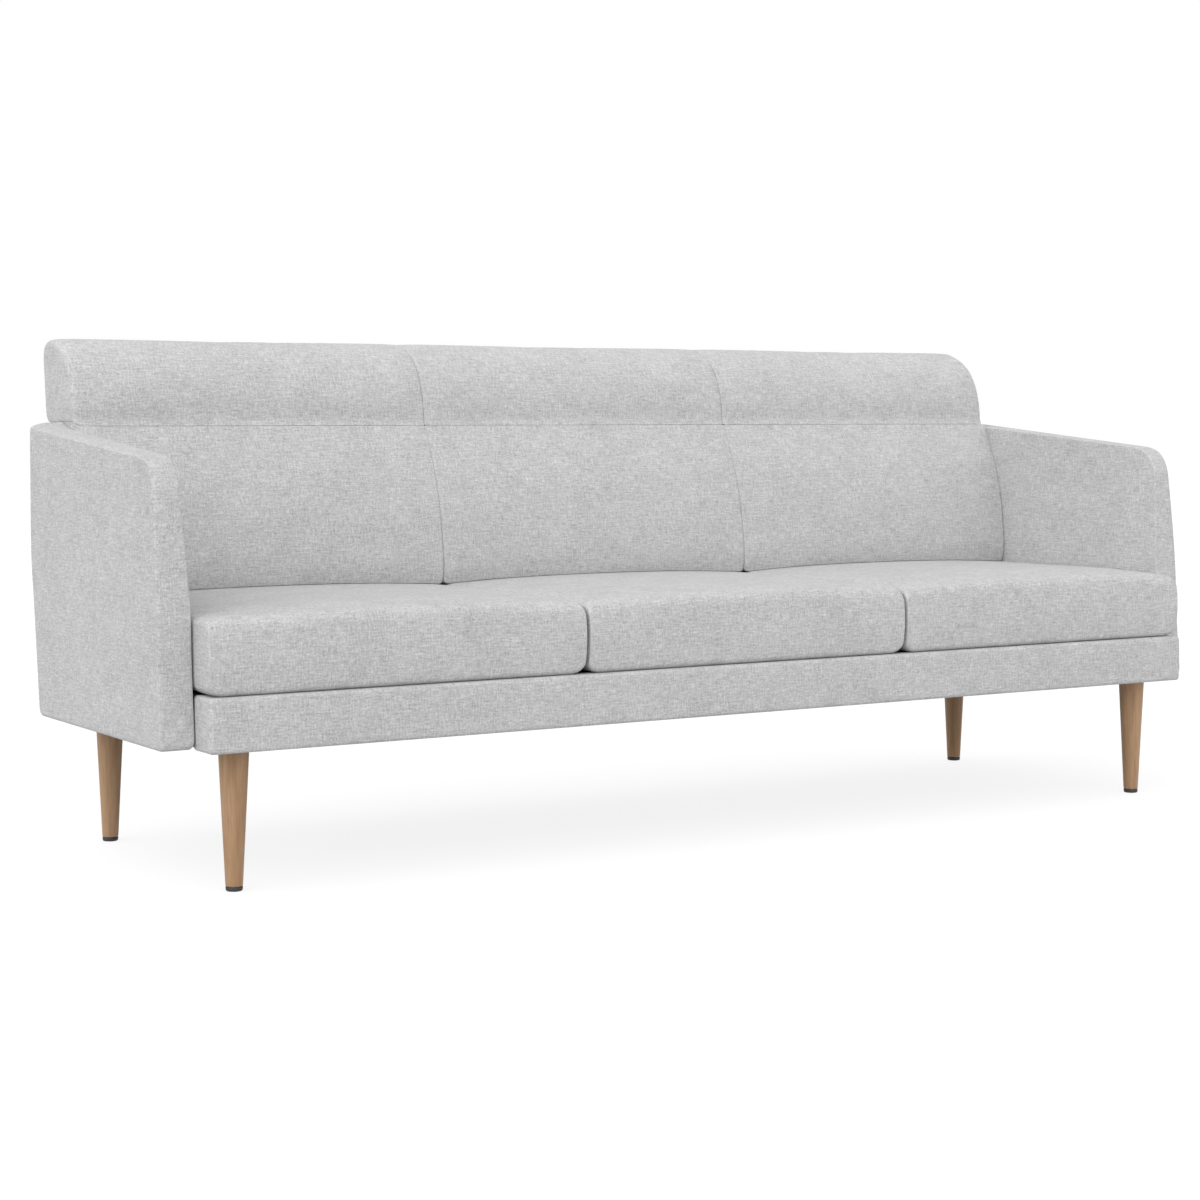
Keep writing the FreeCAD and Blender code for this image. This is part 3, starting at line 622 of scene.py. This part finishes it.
def towards_arm(p, centre):
    """Carries a pad's outer end out to the leaning face of the arm beside it."""
    if abs(centre) > 1:
        side = math.copysign(1, centre)
        near = ramp(p[:, 0] * side, INNER_X - 70, 70)
        p[:, 0] += side * arm_taper(p[:, 1], p[:, 2]) * near
    return p


# ------------ seat cushions

SEAT_CROWN = 9.0  # rise of a seat cushion's top between its ends
SEAT_FALL = 0.009  # slope of its top towards the back
SEAT_SLOPING = (-330, 240)  # stretch along Y over which it slopes
SEAT_NOSE = 7.0  # fall of its top at the front edge
SEAT_NOSE_REACH = 200  # how far behind the edge that fall begins
SEAT_HALF = (SEAT_HIGH[0] - SEAT_LOW[0]) / 2
# How far a cushion's bottom, front, top and rear pull in at its ends, and over what length.
SEAT_END = ((15, 26), (1.5, 3.5), (9, 11), (12, 12))
# Centres of the three places along X.
PLACES = {"left": -2 * INNER_X / 3, "middle": 0.0, "right": 2 * INNER_X / 3}


def seat_crown(x, centre):
    """Rise of a seat cushion's top over its ends."""
    u = np.clip(np.abs(x - centre) / SEAT_HALF, 0, 1)
    return SEAT_CROWN * (1 - u ** 2.4)


def seat_drop(y):
    """How far its top has fallen at y."""
    start, end = SEAT_SLOPING
    return SEAT_FALL * np.clip(y - start, 0, end - start)


def seat_form(centre):
    y0, y1 = SEAT_LOW[1], SEAT_HIGH[1]
    z0, z1 = SEAT_LOW[2], SEAT_HIGH[2] - 0.2
    front = spline([(y0 + 5, z0), (y0 + 1.5, z0 + 25), (y0, z0 + 55), (y0 + 1, z1 - 32),
                    (y0 + 5, z1)], 8)
    lines = round_from(front, (y1, z0), (y1 - 4, z1))
    sides = four_sides(lines, [11, 21, 16, 12], [44, 7, 44, 7], corner=8)

    def shape(p):
        high = ramp(p[:, 2], z0 + 30, z1 - z0 - 30)
        nose = SEAT_NOSE * (1 - ramp(p[:, 1], y0, SEAT_NOSE_REACH))
        p[:, 2] += (seat_crown(p[:, 0], centre) - seat_drop(p[:, 1]) - nose) * high
        return towards_arm(p, centre)

    return swept_form(sides, centre - SEAT_HALF + 0.1, centre + SEAT_HALF - 0.1,
                      (SEAT_END, SEAT_END), bulge=(0.3, 0.3), groove=0.4, shape=shape)


def keep_across(p, centre, half, outer, inner):
    """Keeps points within half of a pad's centre along X, plus outer at the sofa's own ends
    and inner beside another pad."""
    left = outer if centre < -1 else inner
    right = outer if centre > 1 else inner
    p[:, 0] = np.clip(p[:, 0], centre - half - left, centre + half + right)


def seat_limits(p, centre):
    keep_across(p, centre, SEAT_HALF, arm_taper(p[:, 1], p[:, 2]), 0)
    p[:, 1] = np.clip(p[:, 1], SEAT_LOW[1] - 3, SEAT_HIGH[1])
    top = SEAT_HIGH[2] + seat_crown(p[:, 0], centre) - seat_drop(p[:, 1]) + 0.1
    p[:, 2] = np.clip(p[:, 2], SEAT_LOW[2], top)
    return p


def build_seats():
    for side, centre in PLACES.items():
        pad = make_pad(seat_form(centre), "seat_pad_" + side, centre, 3.0, seat_limits)
        declare(pad, "seat_cushion_" + side, body="seat_" + side)


# ------------ back cushions

PAD_HALF = INNER_X / 3
SEAM_GAP = 0.05  # half the gap between neighbouring pads
SEAM_HOLD = 30  # how far from a seam the cloth is held down
CORNER_RISE = 9.3  # rise of the left pad's outer top corner
CORNER_REACH = 19  # and how far from its end it begins
# The front's outline (y, z), from the top down.
BACK_FRONT = [(205.0, 710), (184, 656), (165, 611), (149, 555), (139, 498), (134, 456),
              (134.5, 437), (138, 424.3)]
BACK_END = ((9, 10), (3, 6), (1.2, 5), (4, 4))


def corner_rise(from_end, centre):
    """How far the left back pad's top rises at its outer end, under the round head cushion."""
    if centre > -1:
        return np.zeros_like(from_end)
    return CORNER_RISE * quarter_round(from_end, CORNER_REACH)


def back_form(centre):
    z0 = BACK_LOW[2] - 0.4
    z1 = SEAM_Z - SEAM_GAP
    front = spline([(y, min(max(z, z0), z1)) for y, z in reversed(BACK_FRONT)], 8)
    lines = round_from(front, (pad_rear(z0) - 0.3, z0), (pad_rear(z1) - 0.3, z1))
    sides = four_sides(lines, [1.0, 1.1, 6, 12], [9, 22, 9, 22])

    def shape(p):
        low = 1 - ramp(p[:, 2], z0, 60)
        p[:, 2] += (seat_crown(p[:, 0], centre) - seat_drop(p[:, 1]) + 0.3) * low
        from_end = abs(centre) + PAD_HALF - np.abs(p[:, 0])
        p[:, 2] += corner_rise(from_end, centre) * ramp(p[:, 2], z1 - 30, 30)
        return towards_arm(p, centre)

    return swept_form(sides, centre - PAD_HALF + SEAM_GAP, centre + PAD_HALF - SEAM_GAP,
                      (BACK_END, BACK_END), rear_line=pad_rear, groove=0.2, shape=shape)


def back_limits(p, centre):
    lean = arm_taper(p[:, 1], p[:, 2])
    keep_across(p, centre, PAD_HALF, lean - 0.2, -SEAM_GAP)
    p[:, 1] = np.minimum(p[:, 1], pad_rear(p[:, 2]) - 0.2)
    bottom = BACK_LOW[2] + seat_crown(p[:, 0], centre) - seat_drop(p[:, 1]) - 0.2
    from_end = abs(centre) + PAD_HALF + lean - np.abs(p[:, 0])
    p[:, 2] = np.clip(p[:, 2], bottom, SEAM_Z - SEAM_GAP + corner_rise(from_end, centre))
    return p


def held_at_seams(p, centre):
    """Share of the swelling left near the seams between pads and at the seat."""
    side = PAD_HALF - np.abs(p[:, 0] - centre)
    low = p[:, 2] - BACK_LOW[2] - SEAT_CROWN
    nearest = np.minimum(np.minimum(np.abs(p[:, 2] - SEAM_Z), side), low)
    return ramp(nearest, 0, SEAM_HOLD)


def build_backs():
    for side, centre in PLACES.items():
        pad = make_pad(back_form(centre), "back_pad_" + side, centre, 2.5, back_limits,
                       held_at_seams)
        declare(pad, "back_cushion_" + side)


# ------------ head cushions

HEAD_FRONT = [(206, 700), (210.5, 712), (212, 735), (216, 757), (221, 774), (226, 787),
              (233, 800)]
HEAD_TOP = [(233, 800), (241.5, 813), (253.5, 825), (271, 838), (302, 851), (319, 854),
            (343, 854)]
HEAD_UNDER = 18.0  # radius of its rear bottom edge
HEAD_OVERHANG = 3.5  # how far an outer end stands over the arm's inner face
HEAD_SWELL = 2.0  # how much further its swelling may take it
HEAD_BULGE = 1.5
# How far a head cushion's bottom, front, top and rear pull in at its ends, and over what length.
INNER_END = ((1, 4), (3.4, 8), (3.6, 8), (4, 8))
LEFT_END = ((10, 18), (10, 16), (11.5, 15), (8, 8))
RIGHT_END = ((3, 5), (10, 16), (11.5, 15), (8, 8))
HEAD_ENDS = {"left": (LEFT_END, INNER_END), "middle": (INNER_END, INNER_END),
             "right": (INNER_END, RIGHT_END)}


def head_form(centre, ends):
    z0 = SEAM_Z + SEAM_GAP
    front = spline([(y, max(z, z0)) for y, z in HEAD_FRONT], 6)
    turn_y, turn_z = HEAD_HIGH[1] - HEAD_TURN, HEAD_TOP[-1][1] - HEAD_TURN
    turn = [(turn_y + HEAD_TURN * math.sin(a), turn_z + HEAD_TURN * math.cos(a))
            for a in np.linspace(0, QUARTER, 8)]
    top = np.vstack([spline(HEAD_TOP, 6), turn[1:]])
    low_z = SEAM_Z + HEAD_UNDER
    low_y = head_rear(low_z) - HEAD_UNDER
    under = [(low_y + HEAD_UNDER * math.cos(a), low_z - (HEAD_UNDER - 0.3) * math.sin(a))
             for a in np.linspace(0, QUARTER, 7)]
    lines = [straight(under[-1], front[0]), front, top, np.vstack([[top[-1]], under])]
    sides = four_sides(lines, [1.1, 10, 10, 3], [12, 9, 18, 12], corner=4)
    sides[0] = resampled(sides[0], len(sides[2]))
    sides[3] = resampled(sides[3], len(sides[1]))
    over = [-SEAM_GAP if end is INNER_END else HEAD_OVERHANG for end in ends]
    bulge = [0.0 if end is INNER_END else HEAD_BULGE for end in ends]
    return swept_form(sides, centre - PAD_HALF - over[0], centre + PAD_HALF + over[1], ends,
                      rear_line=head_rear, bulge=bulge, groove=0.2)


def head_limits(p, centre):
    keep_across(p, centre, PAD_HALF, HEAD_OVERHANG + HEAD_SWELL, -SEAM_GAP)
    p[:, 1] = np.minimum(p[:, 1], HEAD_HIGH[1] + 1)
    p[:, 2] = np.clip(p[:, 2], SEAM_Z + SEAM_GAP, HEAD_HIGH[2] + 4)
    return p


def build_heads():
    for side, centre in PLACES.items():
        pad = make_pad(head_form(centre, HEAD_ENDS[side]), "head_pad_" + side, centre,
                       HEAD_SWELL, head_limits, held_at_seams)
        declare(pad, "head_cushion_" + side)


# ------------ arms

ARM_RAKE = math.tan(math.radians(5.0))  # lean of an arm's front
ARM_FALL = math.tan(math.radians(5.02))  # fall of its top towards the front
ARM_REAR_TOP = 705.2  # height of its top at the rear
ARM_KINK = 249.0  # height over its foot from which the rear edge runs forward
ARM_FOOT_BACK = 40.0  # how far forward the foot of the rear edge is
ARM_CORNER = 7.0  # rise of the left arm's top where it meets the back
TIMBER_SHARE = 0.65  # share of the cover's taper that the timber inside takes


def arm_form(sign):
    """Thin upholstered arm: flat sides, soft edges, a little thinner towards the top."""
    z0 = ARM_LOW[2]
    y0, y1 = ARM_LOW[1] - 1.7, ARM_HIGH[1] + 1.5
    fall_and_rake = ARM_FALL * ARM_RAKE
    top_z = (ARM_REAR_TOP - ARM_FALL * (y1 - y0) - fall_and_rake * z0) / (1 - fall_and_rake)
    foot, rear_foot = (y0, z0), (y1 - ARM_FOOT_BACK, z0)
    top, rear_top = (y0 + ARM_RAKE * (top_z - z0), top_z), (y1, ARM_REAR_TOP)
    kink = z0 + ARM_KINK
    bend = spline([(y1, kink + 70), (y1 - 3.5, kink + 5), (y1 - 14, kink - 60)], 8)
    lines = [straight(rear_foot, foot), straight(foot, top), straight(top, rear_top),
             np.vstack([[rear_top], bend, [rear_foot]])]
    sides = four_sides(lines, [14, 56, 10, 14], [34, 26, 34, 26], corner=12)
    x0, x1 = ARM_LOW[0], ARM_HIGH[0]

    def shape(p):
        across = (x1 - p[:, 0]) / (x1 - x0)
        behind = np.clip(1 - (p[:, 1] - y0 - ARM_RAKE * (p[:, 2] - z0)) / 40, 0, 1)
        # The front's outer edge turns more softly towards the top.
        p[:, 1] += 7 * ramp(p[:, 2], 480, 170) * quarter_round(x1 - p[:, 0], 24) * behind
        # Its foot stands back a little.
        p[:, 1] += 5.0 * (1 - ramp(p[:, 2], 330, 110)) * behind
        if sign < 0:
            last = ramp(p[:, 1], y1 - 50, 45) * ramp(p[:, 2], 600, 95)
            p[:, 2] += ARM_CORNER * last * (0.35 + 0.65 * ramp(across, 0, 0.5))
        p[:, 0] += (arm_taper(p[:, 1], p[:, 2]) * across
                    - arm_outer_taper(p[:, 1], p[:, 2]) * (1 - across))
        p[:, 0] *= sign
        return p

    inner = ((9, 9), (3, 4), (3.5, 5), (6, 6))
    outer = ((6, 6), (5, 6), (5, 14), (4, 4))
    return swept_form(sides, x0 + 0.1, x1 + 0.6, (inner, outer), step=9.0, bulge=(0.0, 0.8),
                      groove=0.3, end_steps=8, shape=shape)


def build_arms():
    for side, sign in SIDES:
        obj = arm_form(sign).make("arm_upholstery_" + side, FABRIC)
        subdivide(obj)
        declare(obj, "arm_cover_" + side)


def build_arm_frames():
    """Timber inside each arm, planed thinner towards the top like the cover round it."""
    low, high = node_box("arm_frame_right")
    for side, sign in SIDES:
        node = "arm_frame_" + side
        mesh = NODES[node].data.copy()
        points = points_of(mesh) / MM
        across = (high[0] - points[:, 0] * sign) / (high[0] - low[0])
        inner = arm_taper(points[:, 1], points[:, 2])
        outer = arm_outer_taper(points[:, 1], points[:, 2])
        points[:, 0] += sign * TIMBER_SHARE * (inner * across - outer * (1 - across))
        place_points(mesh, points)
        declare(add_object("arm_timber_" + side, mesh), node)


# ------------ base

BASE_LIP = 30.0  # how far the cover is turned in, above and below
BASE_PADDING = 5.6  # its thickness in front and above
BASE_UNDER = 3.6  # and below
BASE_EDGE = 6.0  # radius of its edges and upright corners
BASE_OVER = 3.0  # how far each end stands over the CAD's


def base_form():
    """Padded cover carried round the front of the base, turned in above and below."""
    y0, y1 = BASE_LOW[1], BASE_HIGH[1]
    z0, z1 = BASE_LOW[2], BASE_HIGH[2]
    x_half = BASE_HIGH[0] + BASE_OVER
    r_edge = BASE_EDGE

    def edge(z, start):
        return [(r_edge + r_edge * math.cos(a), z + r_edge * math.sin(a))
                for a in np.linspace(start, start + QUARTER, 6)]

    # The profile is (depth behind the front, height), round the outside and back inside.
    outer = [(BASE_LIP, z1)] + [(d, z1) for d in np.linspace(BASE_LIP - 4, 10, 3)]
    outer += edge(z1 - r_edge, QUARTER)
    outer += [(-0.8 * math.sin(math.pi * t), z1 - r_edge - t * (z1 - z0 - 2 * r_edge))
              for t in np.linspace(0.1, 0.9, 7)]
    outer += edge(z0 + r_edge, 2 * QUARTER)
    outer += [(d, z0) for d in np.linspace(10, BASE_LIP, 4)]
    inner = [(BASE_LIP, z0 + BASE_UNDER), (BASE_PADDING, z0 + BASE_UNDER),
             (BASE_PADDING, z1 - BASE_PADDING), (BASE_LIP, z1 - BASE_PADDING)]
    profile = np.array(outer + inner + [outer[0]])

    turn = np.linspace(0, QUARTER, 9)[1:-1]
    back = np.linspace(y0 + r_edge, y1, 8)
    path = [("side", -1, y) for y in back[::-1]]
    path += [("corner", -1, a) for a in turn]
    path += [("front", 0, x) for x in np.linspace(-x_half + r_edge, x_half - r_edge, 160)]
    path += [("corner", 1, a) for a in turn[::-1]]
    path += [("side", 1, y) for y in back]

    def place(part, sign, at, d, z):
        """Point at depth d: at is x in front, y at a side, or the angle from the side."""
        if part == "front":
            limit = x_half - max(r_edge, d)
            return (min(max(at, -limit), limit), y0 + d, z)
        if part == "side":
            return (sign * (x_half - d), max(at, y0 + d), z)
        r = r_edge - d
        if r <= 0:
            return (sign * (x_half - d), y0 + d, z)
        return (sign * (x_half - r_edge + r * math.cos(at)), y0 + r_edge - r * math.sin(at), z)

    grid = np.array([[place(*stop, d, z) for d, z in profile] for stop in path])
    shell = Shell()
    weave = np.broadcast_arrays(runs_along(grid[:, 8])[:, None], runs_along(profile)[None])
    shell.patch(grid, np.dstack(weave))
    # Ends of the cover: a strip between its outer and inner outline.
    inside = resampled(np.array(inner[::-1]), len(outer))
    for stop in (path[0], path[-1]):
        strip = np.array([[place(*stop, d, z) for d, z in line] for line in (outer, inside)])
        shell.patch(strip, strip[..., 1:])
    return shell


def build_base():
    declare(base_form().make("base_upholstery", FABRIC), "base_cover")


# ------------ outside back, deck, cloth

OUTSIDE_THICK = 4.6
OUTSIDE_END = ((3, 3), (2, 2), (3, 3), (2, 2))


def build_outside_back():
    z0, z1 = OUT_LOW[2], OUT_HIGH[2] - 0.3
    corners = [(outside_rear(z0), z0), (outside_rear(z0) - OUTSIDE_THICK, z0),
               (outside_rear(z1) - OUTSIDE_THICK, z1), (outside_rear(z1), z1)]
    lines = [straight(a, b) for a, b in zip(corners, corners[1:] + corners[:1])]
    sides = four_sides(lines, [1.5, 1.5, 2.2, 2.2], [2, 34, 2, 34])
    shell = swept_form(sides, -OUT_HIGH[0], OUT_HIGH[0], (OUTSIDE_END, OUTSIDE_END),
                       rear_line=outside_rear, step=14.0, end_steps=4)
    declare(shell.make("outside_back_cover", FABRIC), "outside_back")


def box_weave(mesh):
    """Weave coordinates laid on each face along the axes nearest to it."""
    layer = mesh.uv_layers.new(name=WEAVE)
    for face in mesh.polygons:
        n = [abs(c) for c in face.normal]
        axes = (1, 2) if n[0] >= max(n[1], n[2]) else (0, 2) if n[1] >= n[2] else (0, 1)
        for loop in face.loop_indices:
            co = mesh.vertices[mesh.loops[loop].vertex_index].co
            layer.data[loop].uv = (co[axes[0]], co[axes[1]])


def cloth_mesh(name, work, material):
    """Smooth mesh of a bmesh, with weave coordinates."""
    mesh = bpy.data.meshes.new(name)
    work.to_mesh(mesh)
    work.free()
    box_weave(mesh)
    mesh.materials.append(material)
    mesh.shade_smooth()
    return mesh


def panel(name, outline, x0, x1, edge):
    """Flat padded panel with a YZ outline and soft edges."""
    work = bmesh.new()
    face = work.faces.new([work.verts.new((x0 * MM, y * MM, z * MM)) for y, z in outline])
    grown = bmesh.ops.extrude_face_region(work, geom=[face])
    moved = [v for v in grown["geom"] if isinstance(v, bmesh.types.BMVert)]
    bmesh.ops.translate(work, verts=moved, vec=((x1 - x0) * MM, 0, 0))
    bmesh.ops.recalc_face_normals(work, faces=work.faces)
    bmesh.ops.bevel(work, geom=list(work.edges), offset=edge * MM, segments=3, profile=0.5,
                    affect="EDGES")
    mesh = cloth_mesh(name, work, FABRIC)
    mesh.set_sharp_from_angle(angle=math.radians(50))
    return add_object(name, mesh)


FACING_INSET = 5.0  # the facing's rear edge in front of the outside back's rear plane
FACING_DEPTH = 35.0  # its depth, from there forward
FACING_EDGE = 1.5  # its softened edge


def build_facings():
    """Facing on each end of the back, carried down over the rails behind the arm's foot."""
    low, high = node_box("back_facing_right")
    rail_top = node_box("rear_rail")[1][2]

    def rear(z):
        return outside_rear(z) - FACING_INSET

    z0, z1 = low[2] + 0.1, high[2] - 0.1
    # Beside the seat it reaches forward to the rear of the seat cushion.
    seat_y, seat_top = SEAT_HIGH[1] + 2.5, SEAT_HIGH[2] - 0.8
    outline = [(low[1], z0), (rear(z0), z0), (rear(z1), z1), (rear(z1) - FACING_DEPTH, z1),
               (rear(seat_top) - FACING_DEPTH, seat_top), (seat_y, seat_top),
               (seat_y, rail_top), (low[1], rail_top)]
    for side, sign in SIDES:
        obj = panel("back_end_facing_" + side, outline, sign * (low[0] + 0.1), sign * high[0],
                    FACING_EDGE)
        declare(obj, "back_facing_" + side)


DECK_CLEARANCE = 0.3  # between the deck and the base cover's lip
DECK_DISH = 1.2  # how far its top sinks in the middle


def build_seat_deck():
    """Padded cloth over the webbing, dished a little between the rails."""
    beside_lip = BASE_LIP + DECK_CLEARANCE
    y0, y1 = BASE_LOW[1] + beside_lip, DECK_HIGH[1]
    behind = BASE_HIGH[1] + 0.4
    x_lip, x_full = INNER_X - beside_lip, INNER_X - 0.2
    across = np.linspace(-1, 1, 150)
    ys = np.concatenate([np.linspace(y0, behind - 0.4, 4), np.linspace(behind, y1, 46)])

    def surface(z, dish):
        grid = []
        for y in ys:
            reach = x_lip if y < behind else x_full
            sag = dish * math.sin(math.pi * np.clip((y - behind) / (y1 - behind), 0, 1))
            grid.append([(u * reach, y, z - sag * (1 - abs(u) ** 6)) for u in across])
        return np.array(grid)

    top = surface(DECK_HIGH[2], DECK_DISH)
    bottom = surface(DECK_LOW[2], 0.0)
    shell = Shell()
    shell.patch(top, top[..., :2])
    shell.patch(bottom, bottom[..., :2])
    for a, b in ((top[0], bottom[0]), (top[-1], bottom[-1]), (top[:, 0], bottom[:, 0]),
                 (top[:, -1], bottom[:, -1])):
        strip = np.array([a, b])
        shell.patch(strip, strip[..., [0, 2]])
    declare(shell.make("seat_deck_pad", UNDER_CLOTH, smooth=False), "seat_deck")


PLATE_CLEAR = 61.0  # how far in from the leg plates' outer edges the dust cover is cut
DUST_SAG = 4.0  # its deepest sag between the rails
DUST_THICK = 0.7


def build_dust_cover():
    """Cloth stretched under the base, cut away round the leg plates and sagging a little."""
    x1, y0, y1 = DUST_HIGH[0], DUST_LOW[1], DUST_HIGH[1]
    z = DUST_HIGH[2] - 0.5
    plate_low, plate_high = node_box("leg_plates")
    cut_x = plate_high[0] - PLATE_CLEAR
    cut_front, cut_rear = plate_low[1] + PLATE_CLEAR, plate_high[1] - PLATE_CLEAR
    xs = np.concatenate([[-x1], np.linspace(-cut_x, cut_x, 90), [x1]])
    ys = np.concatenate([[y0], np.linspace(cut_front, cut_rear, 40), [y1]])
    cross = [node_box("cross_rail_1"), node_box("cross_rail_2")]
    supports = [-INNER_X] + [(low[0] + high[0]) / 2 for low, high in cross] + [INNER_X]

    def sag(x, y):
        v = (y - y0) / (y1 - y0)
        for a, b in zip(supports[:-1], supports[1:]):
            if a <= x <= b:
                along = math.sin(math.pi * (x - a) / (b - a)) ** 0.8
                return DUST_SAG * along * math.sin(math.pi * v)
        return 0.0

    work = bmesh.new()
    rows = [[work.verts.new((x * MM, y * MM, (z - sag(x, y)) * MM)) for y in ys] for x in xs]
    for i in range(len(xs) - 1):
        for j in range(len(ys) - 1):
            if i in (0, len(xs) - 2) and j in (0, len(ys) - 2):
                continue
            work.faces.new((rows[i][j], rows[i + 1][j], rows[i + 1][j + 1], rows[i][j + 1]))
    loose = [v for v in work.verts if not v.link_faces]
    bmesh.ops.delete(work, geom=loose, context="VERTS")
    obj = add_object("under_cloth", cloth_mesh("under_cloth", work, UNDER_CLOTH))
    thick = obj.modifiers.new("thickness", "SOLIDIFY")
    thick.thickness = DUST_THICK * MM
    thick.offset = 0.0
    declare(obj, "dust_cover")


# ------------ legs

BORE_RADIUS = 4.15  # of the bore for a leg's bolt
BORE_DEPTH = 37.0
GRAIN_TURN = 20.0  # weave coordinate for each radian round a turned piece


def revolved(name, profile, x, y, material, segments):
    """Closed turned piece: profile is (radius, z) from its bottom centre to its top centre."""
    angles = np.linspace(0, 2 * math.pi, segments + 1)
    grid = np.array([[(x + r * math.cos(a), y + r * math.sin(a), z) for a in angles]
                     for r, z in profile])
    shell = Shell()
    weave = np.broadcast_arrays(angles[None] * GRAIN_TURN, grid[:, :1, 2])
    shell.patch(grid, np.dstack(weave))
    return shell.make(name, material)


def build_legs():
    leg_low, leg_high = node_box("legs_front")
    glide_low, glide_high = node_box("glides")
    foot_z, top_z = glide_high[2], leg_high[2]
    top_r = (leg_high[1] - leg_low[1]) / 2
    leg_x = leg_high[0] - top_r
    foot_r = glide_high[0] - leg_x
    slope = (top_r - foot_r) / (top_z - foot_z)
    bore_z = top_z - BORE_DEPTH

    def radius(z):
        return foot_r + slope * (z - foot_z)

    profile = [(0, foot_z), (foot_r - 1.4, foot_z), (foot_r - 0.9, foot_z + 0.2),
               (foot_r - 0.25, foot_z + 0.9), (radius(foot_z + 2), foot_z + 2)]
    profile += [(radius(z), z) for z in np.linspace(foot_z + 10, top_z - 6, 16)]
    profile += [(radius(top_z - 1.2), top_z - 1.2), (top_r - 0.5, top_z - 0.3),
                (top_r - 1.4, top_z), (BORE_RADIUS, top_z), (BORE_RADIUS, bore_z), (0, bore_z)]
    cap = [(0, 0.0), (foot_r - 2.4, 0.0), (foot_r - 1.6, 0.15), (foot_r - 0.9, 0.7),
           (foot_r - 0.35, 1.6), (foot_r - 0.15, 3.0), (foot_r - 0.1, foot_z - 0.9),
           (foot_r - 0.5, foot_z - 0.3), (foot_r - 0.9, foot_z - 0.05), (0, foot_z - 0.05)]
    for row in ("front", "rear"):
        low, high = node_box("legs_" + row)
        y = (low[1] + high[1]) / 2
        for side, sign in SIDES:
            leg = revolved("leg_" + row + "_" + side, profile, sign * leg_x, y, OAK, 64)
            declare(leg, "legs_" + row)
            foot = revolved("glide_" + row + "_" + side, cap, sign * leg_x, y, PLASTIC, 48)
            declare(foot, "glides")


build_legs()
build_base()
build_arms()
build_arm_frames()
build_outside_back()
build_facings()
build_seat_deck()
build_dust_cover()
build_seats()
build_backs()
build_heads()


# ------------ stage, light and camera

FLOOR_HALF = 30.0
FLOOR_Z = -0.0005  # just under the glides, so that the two don't share a plane
FLOOR_GREY = (0.6, 0.6, 0.6, 1)  # floor as it lights the sofa
FLOOR_SHADOW_GREY = (0.2, 0.2, 0.2, 1)  # floor as it is seen, with its glow
FLOOR_GLOW = 0.84
WORLD_LIGHT = 0.84
WHITE = (1, 1, 1, 1)
# Name, direction in which it shines, strength and angle in degrees.
SUNS = [("from_left", (1, 0.3, -1.05), 1.3, 70), ("from_front", (0.1, 1, -0.4), 0.55, 60)]
LENS = 73.99
SHIFT = (0.00157, -0.0897)
CAMERA_PLACE = (-2.4340, -3.7639, 0.7233)
CAMERA_YAW = 31.925
CAMERA_PITCH = 1.7885


def stage_material():
    """Pale floor: white to the camera and to reflections, with the sofa's soft shadow."""
    net = Net(bpy.data.materials.new("pale_floor"))
    net.nodes.remove(net.nodes["Principled BSDF"])
    plain = net.add("BsdfDiffuse", 0, {"Color": FLOOR_GREY})
    shadowed = net.add("BsdfDiffuse", 0, {"Color": FLOOR_SHADOW_GREY})
    glow = net.add("Emission", 0, {"Color": WHITE, "Strength": FLOOR_GLOW})
    seen = net.add("AddShader", 0, {0: shadowed, 1: glow})
    shown = net.rays("Is Camera Ray", "Is Glossy Ray", "Is Transmission Ray")
    floor = net.add("MixShader", 0, {0: shown, 1: plain, 2: seen})
    net.put(net.nodes["Material Output"].inputs[0], floor)
    return net.owner


def build_stage():
    mesh = bpy.data.meshes.new("floor")
    s = FLOOR_HALF
    mesh.from_pydata([(-s, -s, 0), (s, -s, 0), (s, s, 0), (-s, s, 0)], [], [(0, 1, 2, 3)])
    mesh.materials.append(stage_material())
    floor = add_object("floor", mesh)
    floor.location.z = FLOOR_Z


def build_world():
    """Even light all round, white where the camera sees past the floor."""
    world = bpy.data.worlds.new("studio")
    bpy.context.scene.world = world
    net = Net(world)
    soft = net.nodes["Background"]
    soft.inputs["Color"].default_value = WHITE
    soft.inputs["Strength"].default_value = WORLD_LIGHT
    seen = net.add("Background", 0, {"Color": WHITE, "Strength": 1.0})
    shown = net.rays("Is Camera Ray", "Is Transmission Ray")
    both = net.add("MixShader", 0, {0: shown, 1: soft.outputs[0], 2: seen})
    net.put(net.nodes["World Output"].inputs[0], both)


def look_along(obj, direction):
    obj.rotation_mode = "QUATERNION"
    obj.rotation_quaternion = Vector(direction).to_track_quat("-Z", "Y")


def sun_light(name, direction, strength, spread):
    """Broad, far light."""
    light = bpy.data.lights.new(name, "SUN")
    light.energy = strength
    light.angle = math.radians(spread)
    obj = add_object(name, light)
    obj.location = (0, 0, 5)
    look_along(obj, direction)


def build_camera():
    data = bpy.data.cameras.new("camera")
    data.sensor_width = 36.0
    data.lens = LENS
    data.shift_x, data.shift_y = SHIFT
    camera = add_object("camera", data)
    camera.location = CAMERA_PLACE
    yaw, pitch = math.radians(CAMERA_YAW), math.radians(CAMERA_PITCH)
    look_along(camera, (math.sin(yaw) * math.cos(pitch), math.cos(yaw) * math.cos(pitch),
                        -math.sin(pitch)))
    bpy.context.scene.camera = camera


build_stage()
build_world()
for sun in SUNS:
    sun_light(*sun)
build_camera()
bpy.context.scene.view_settings.view_transform = "Standard"
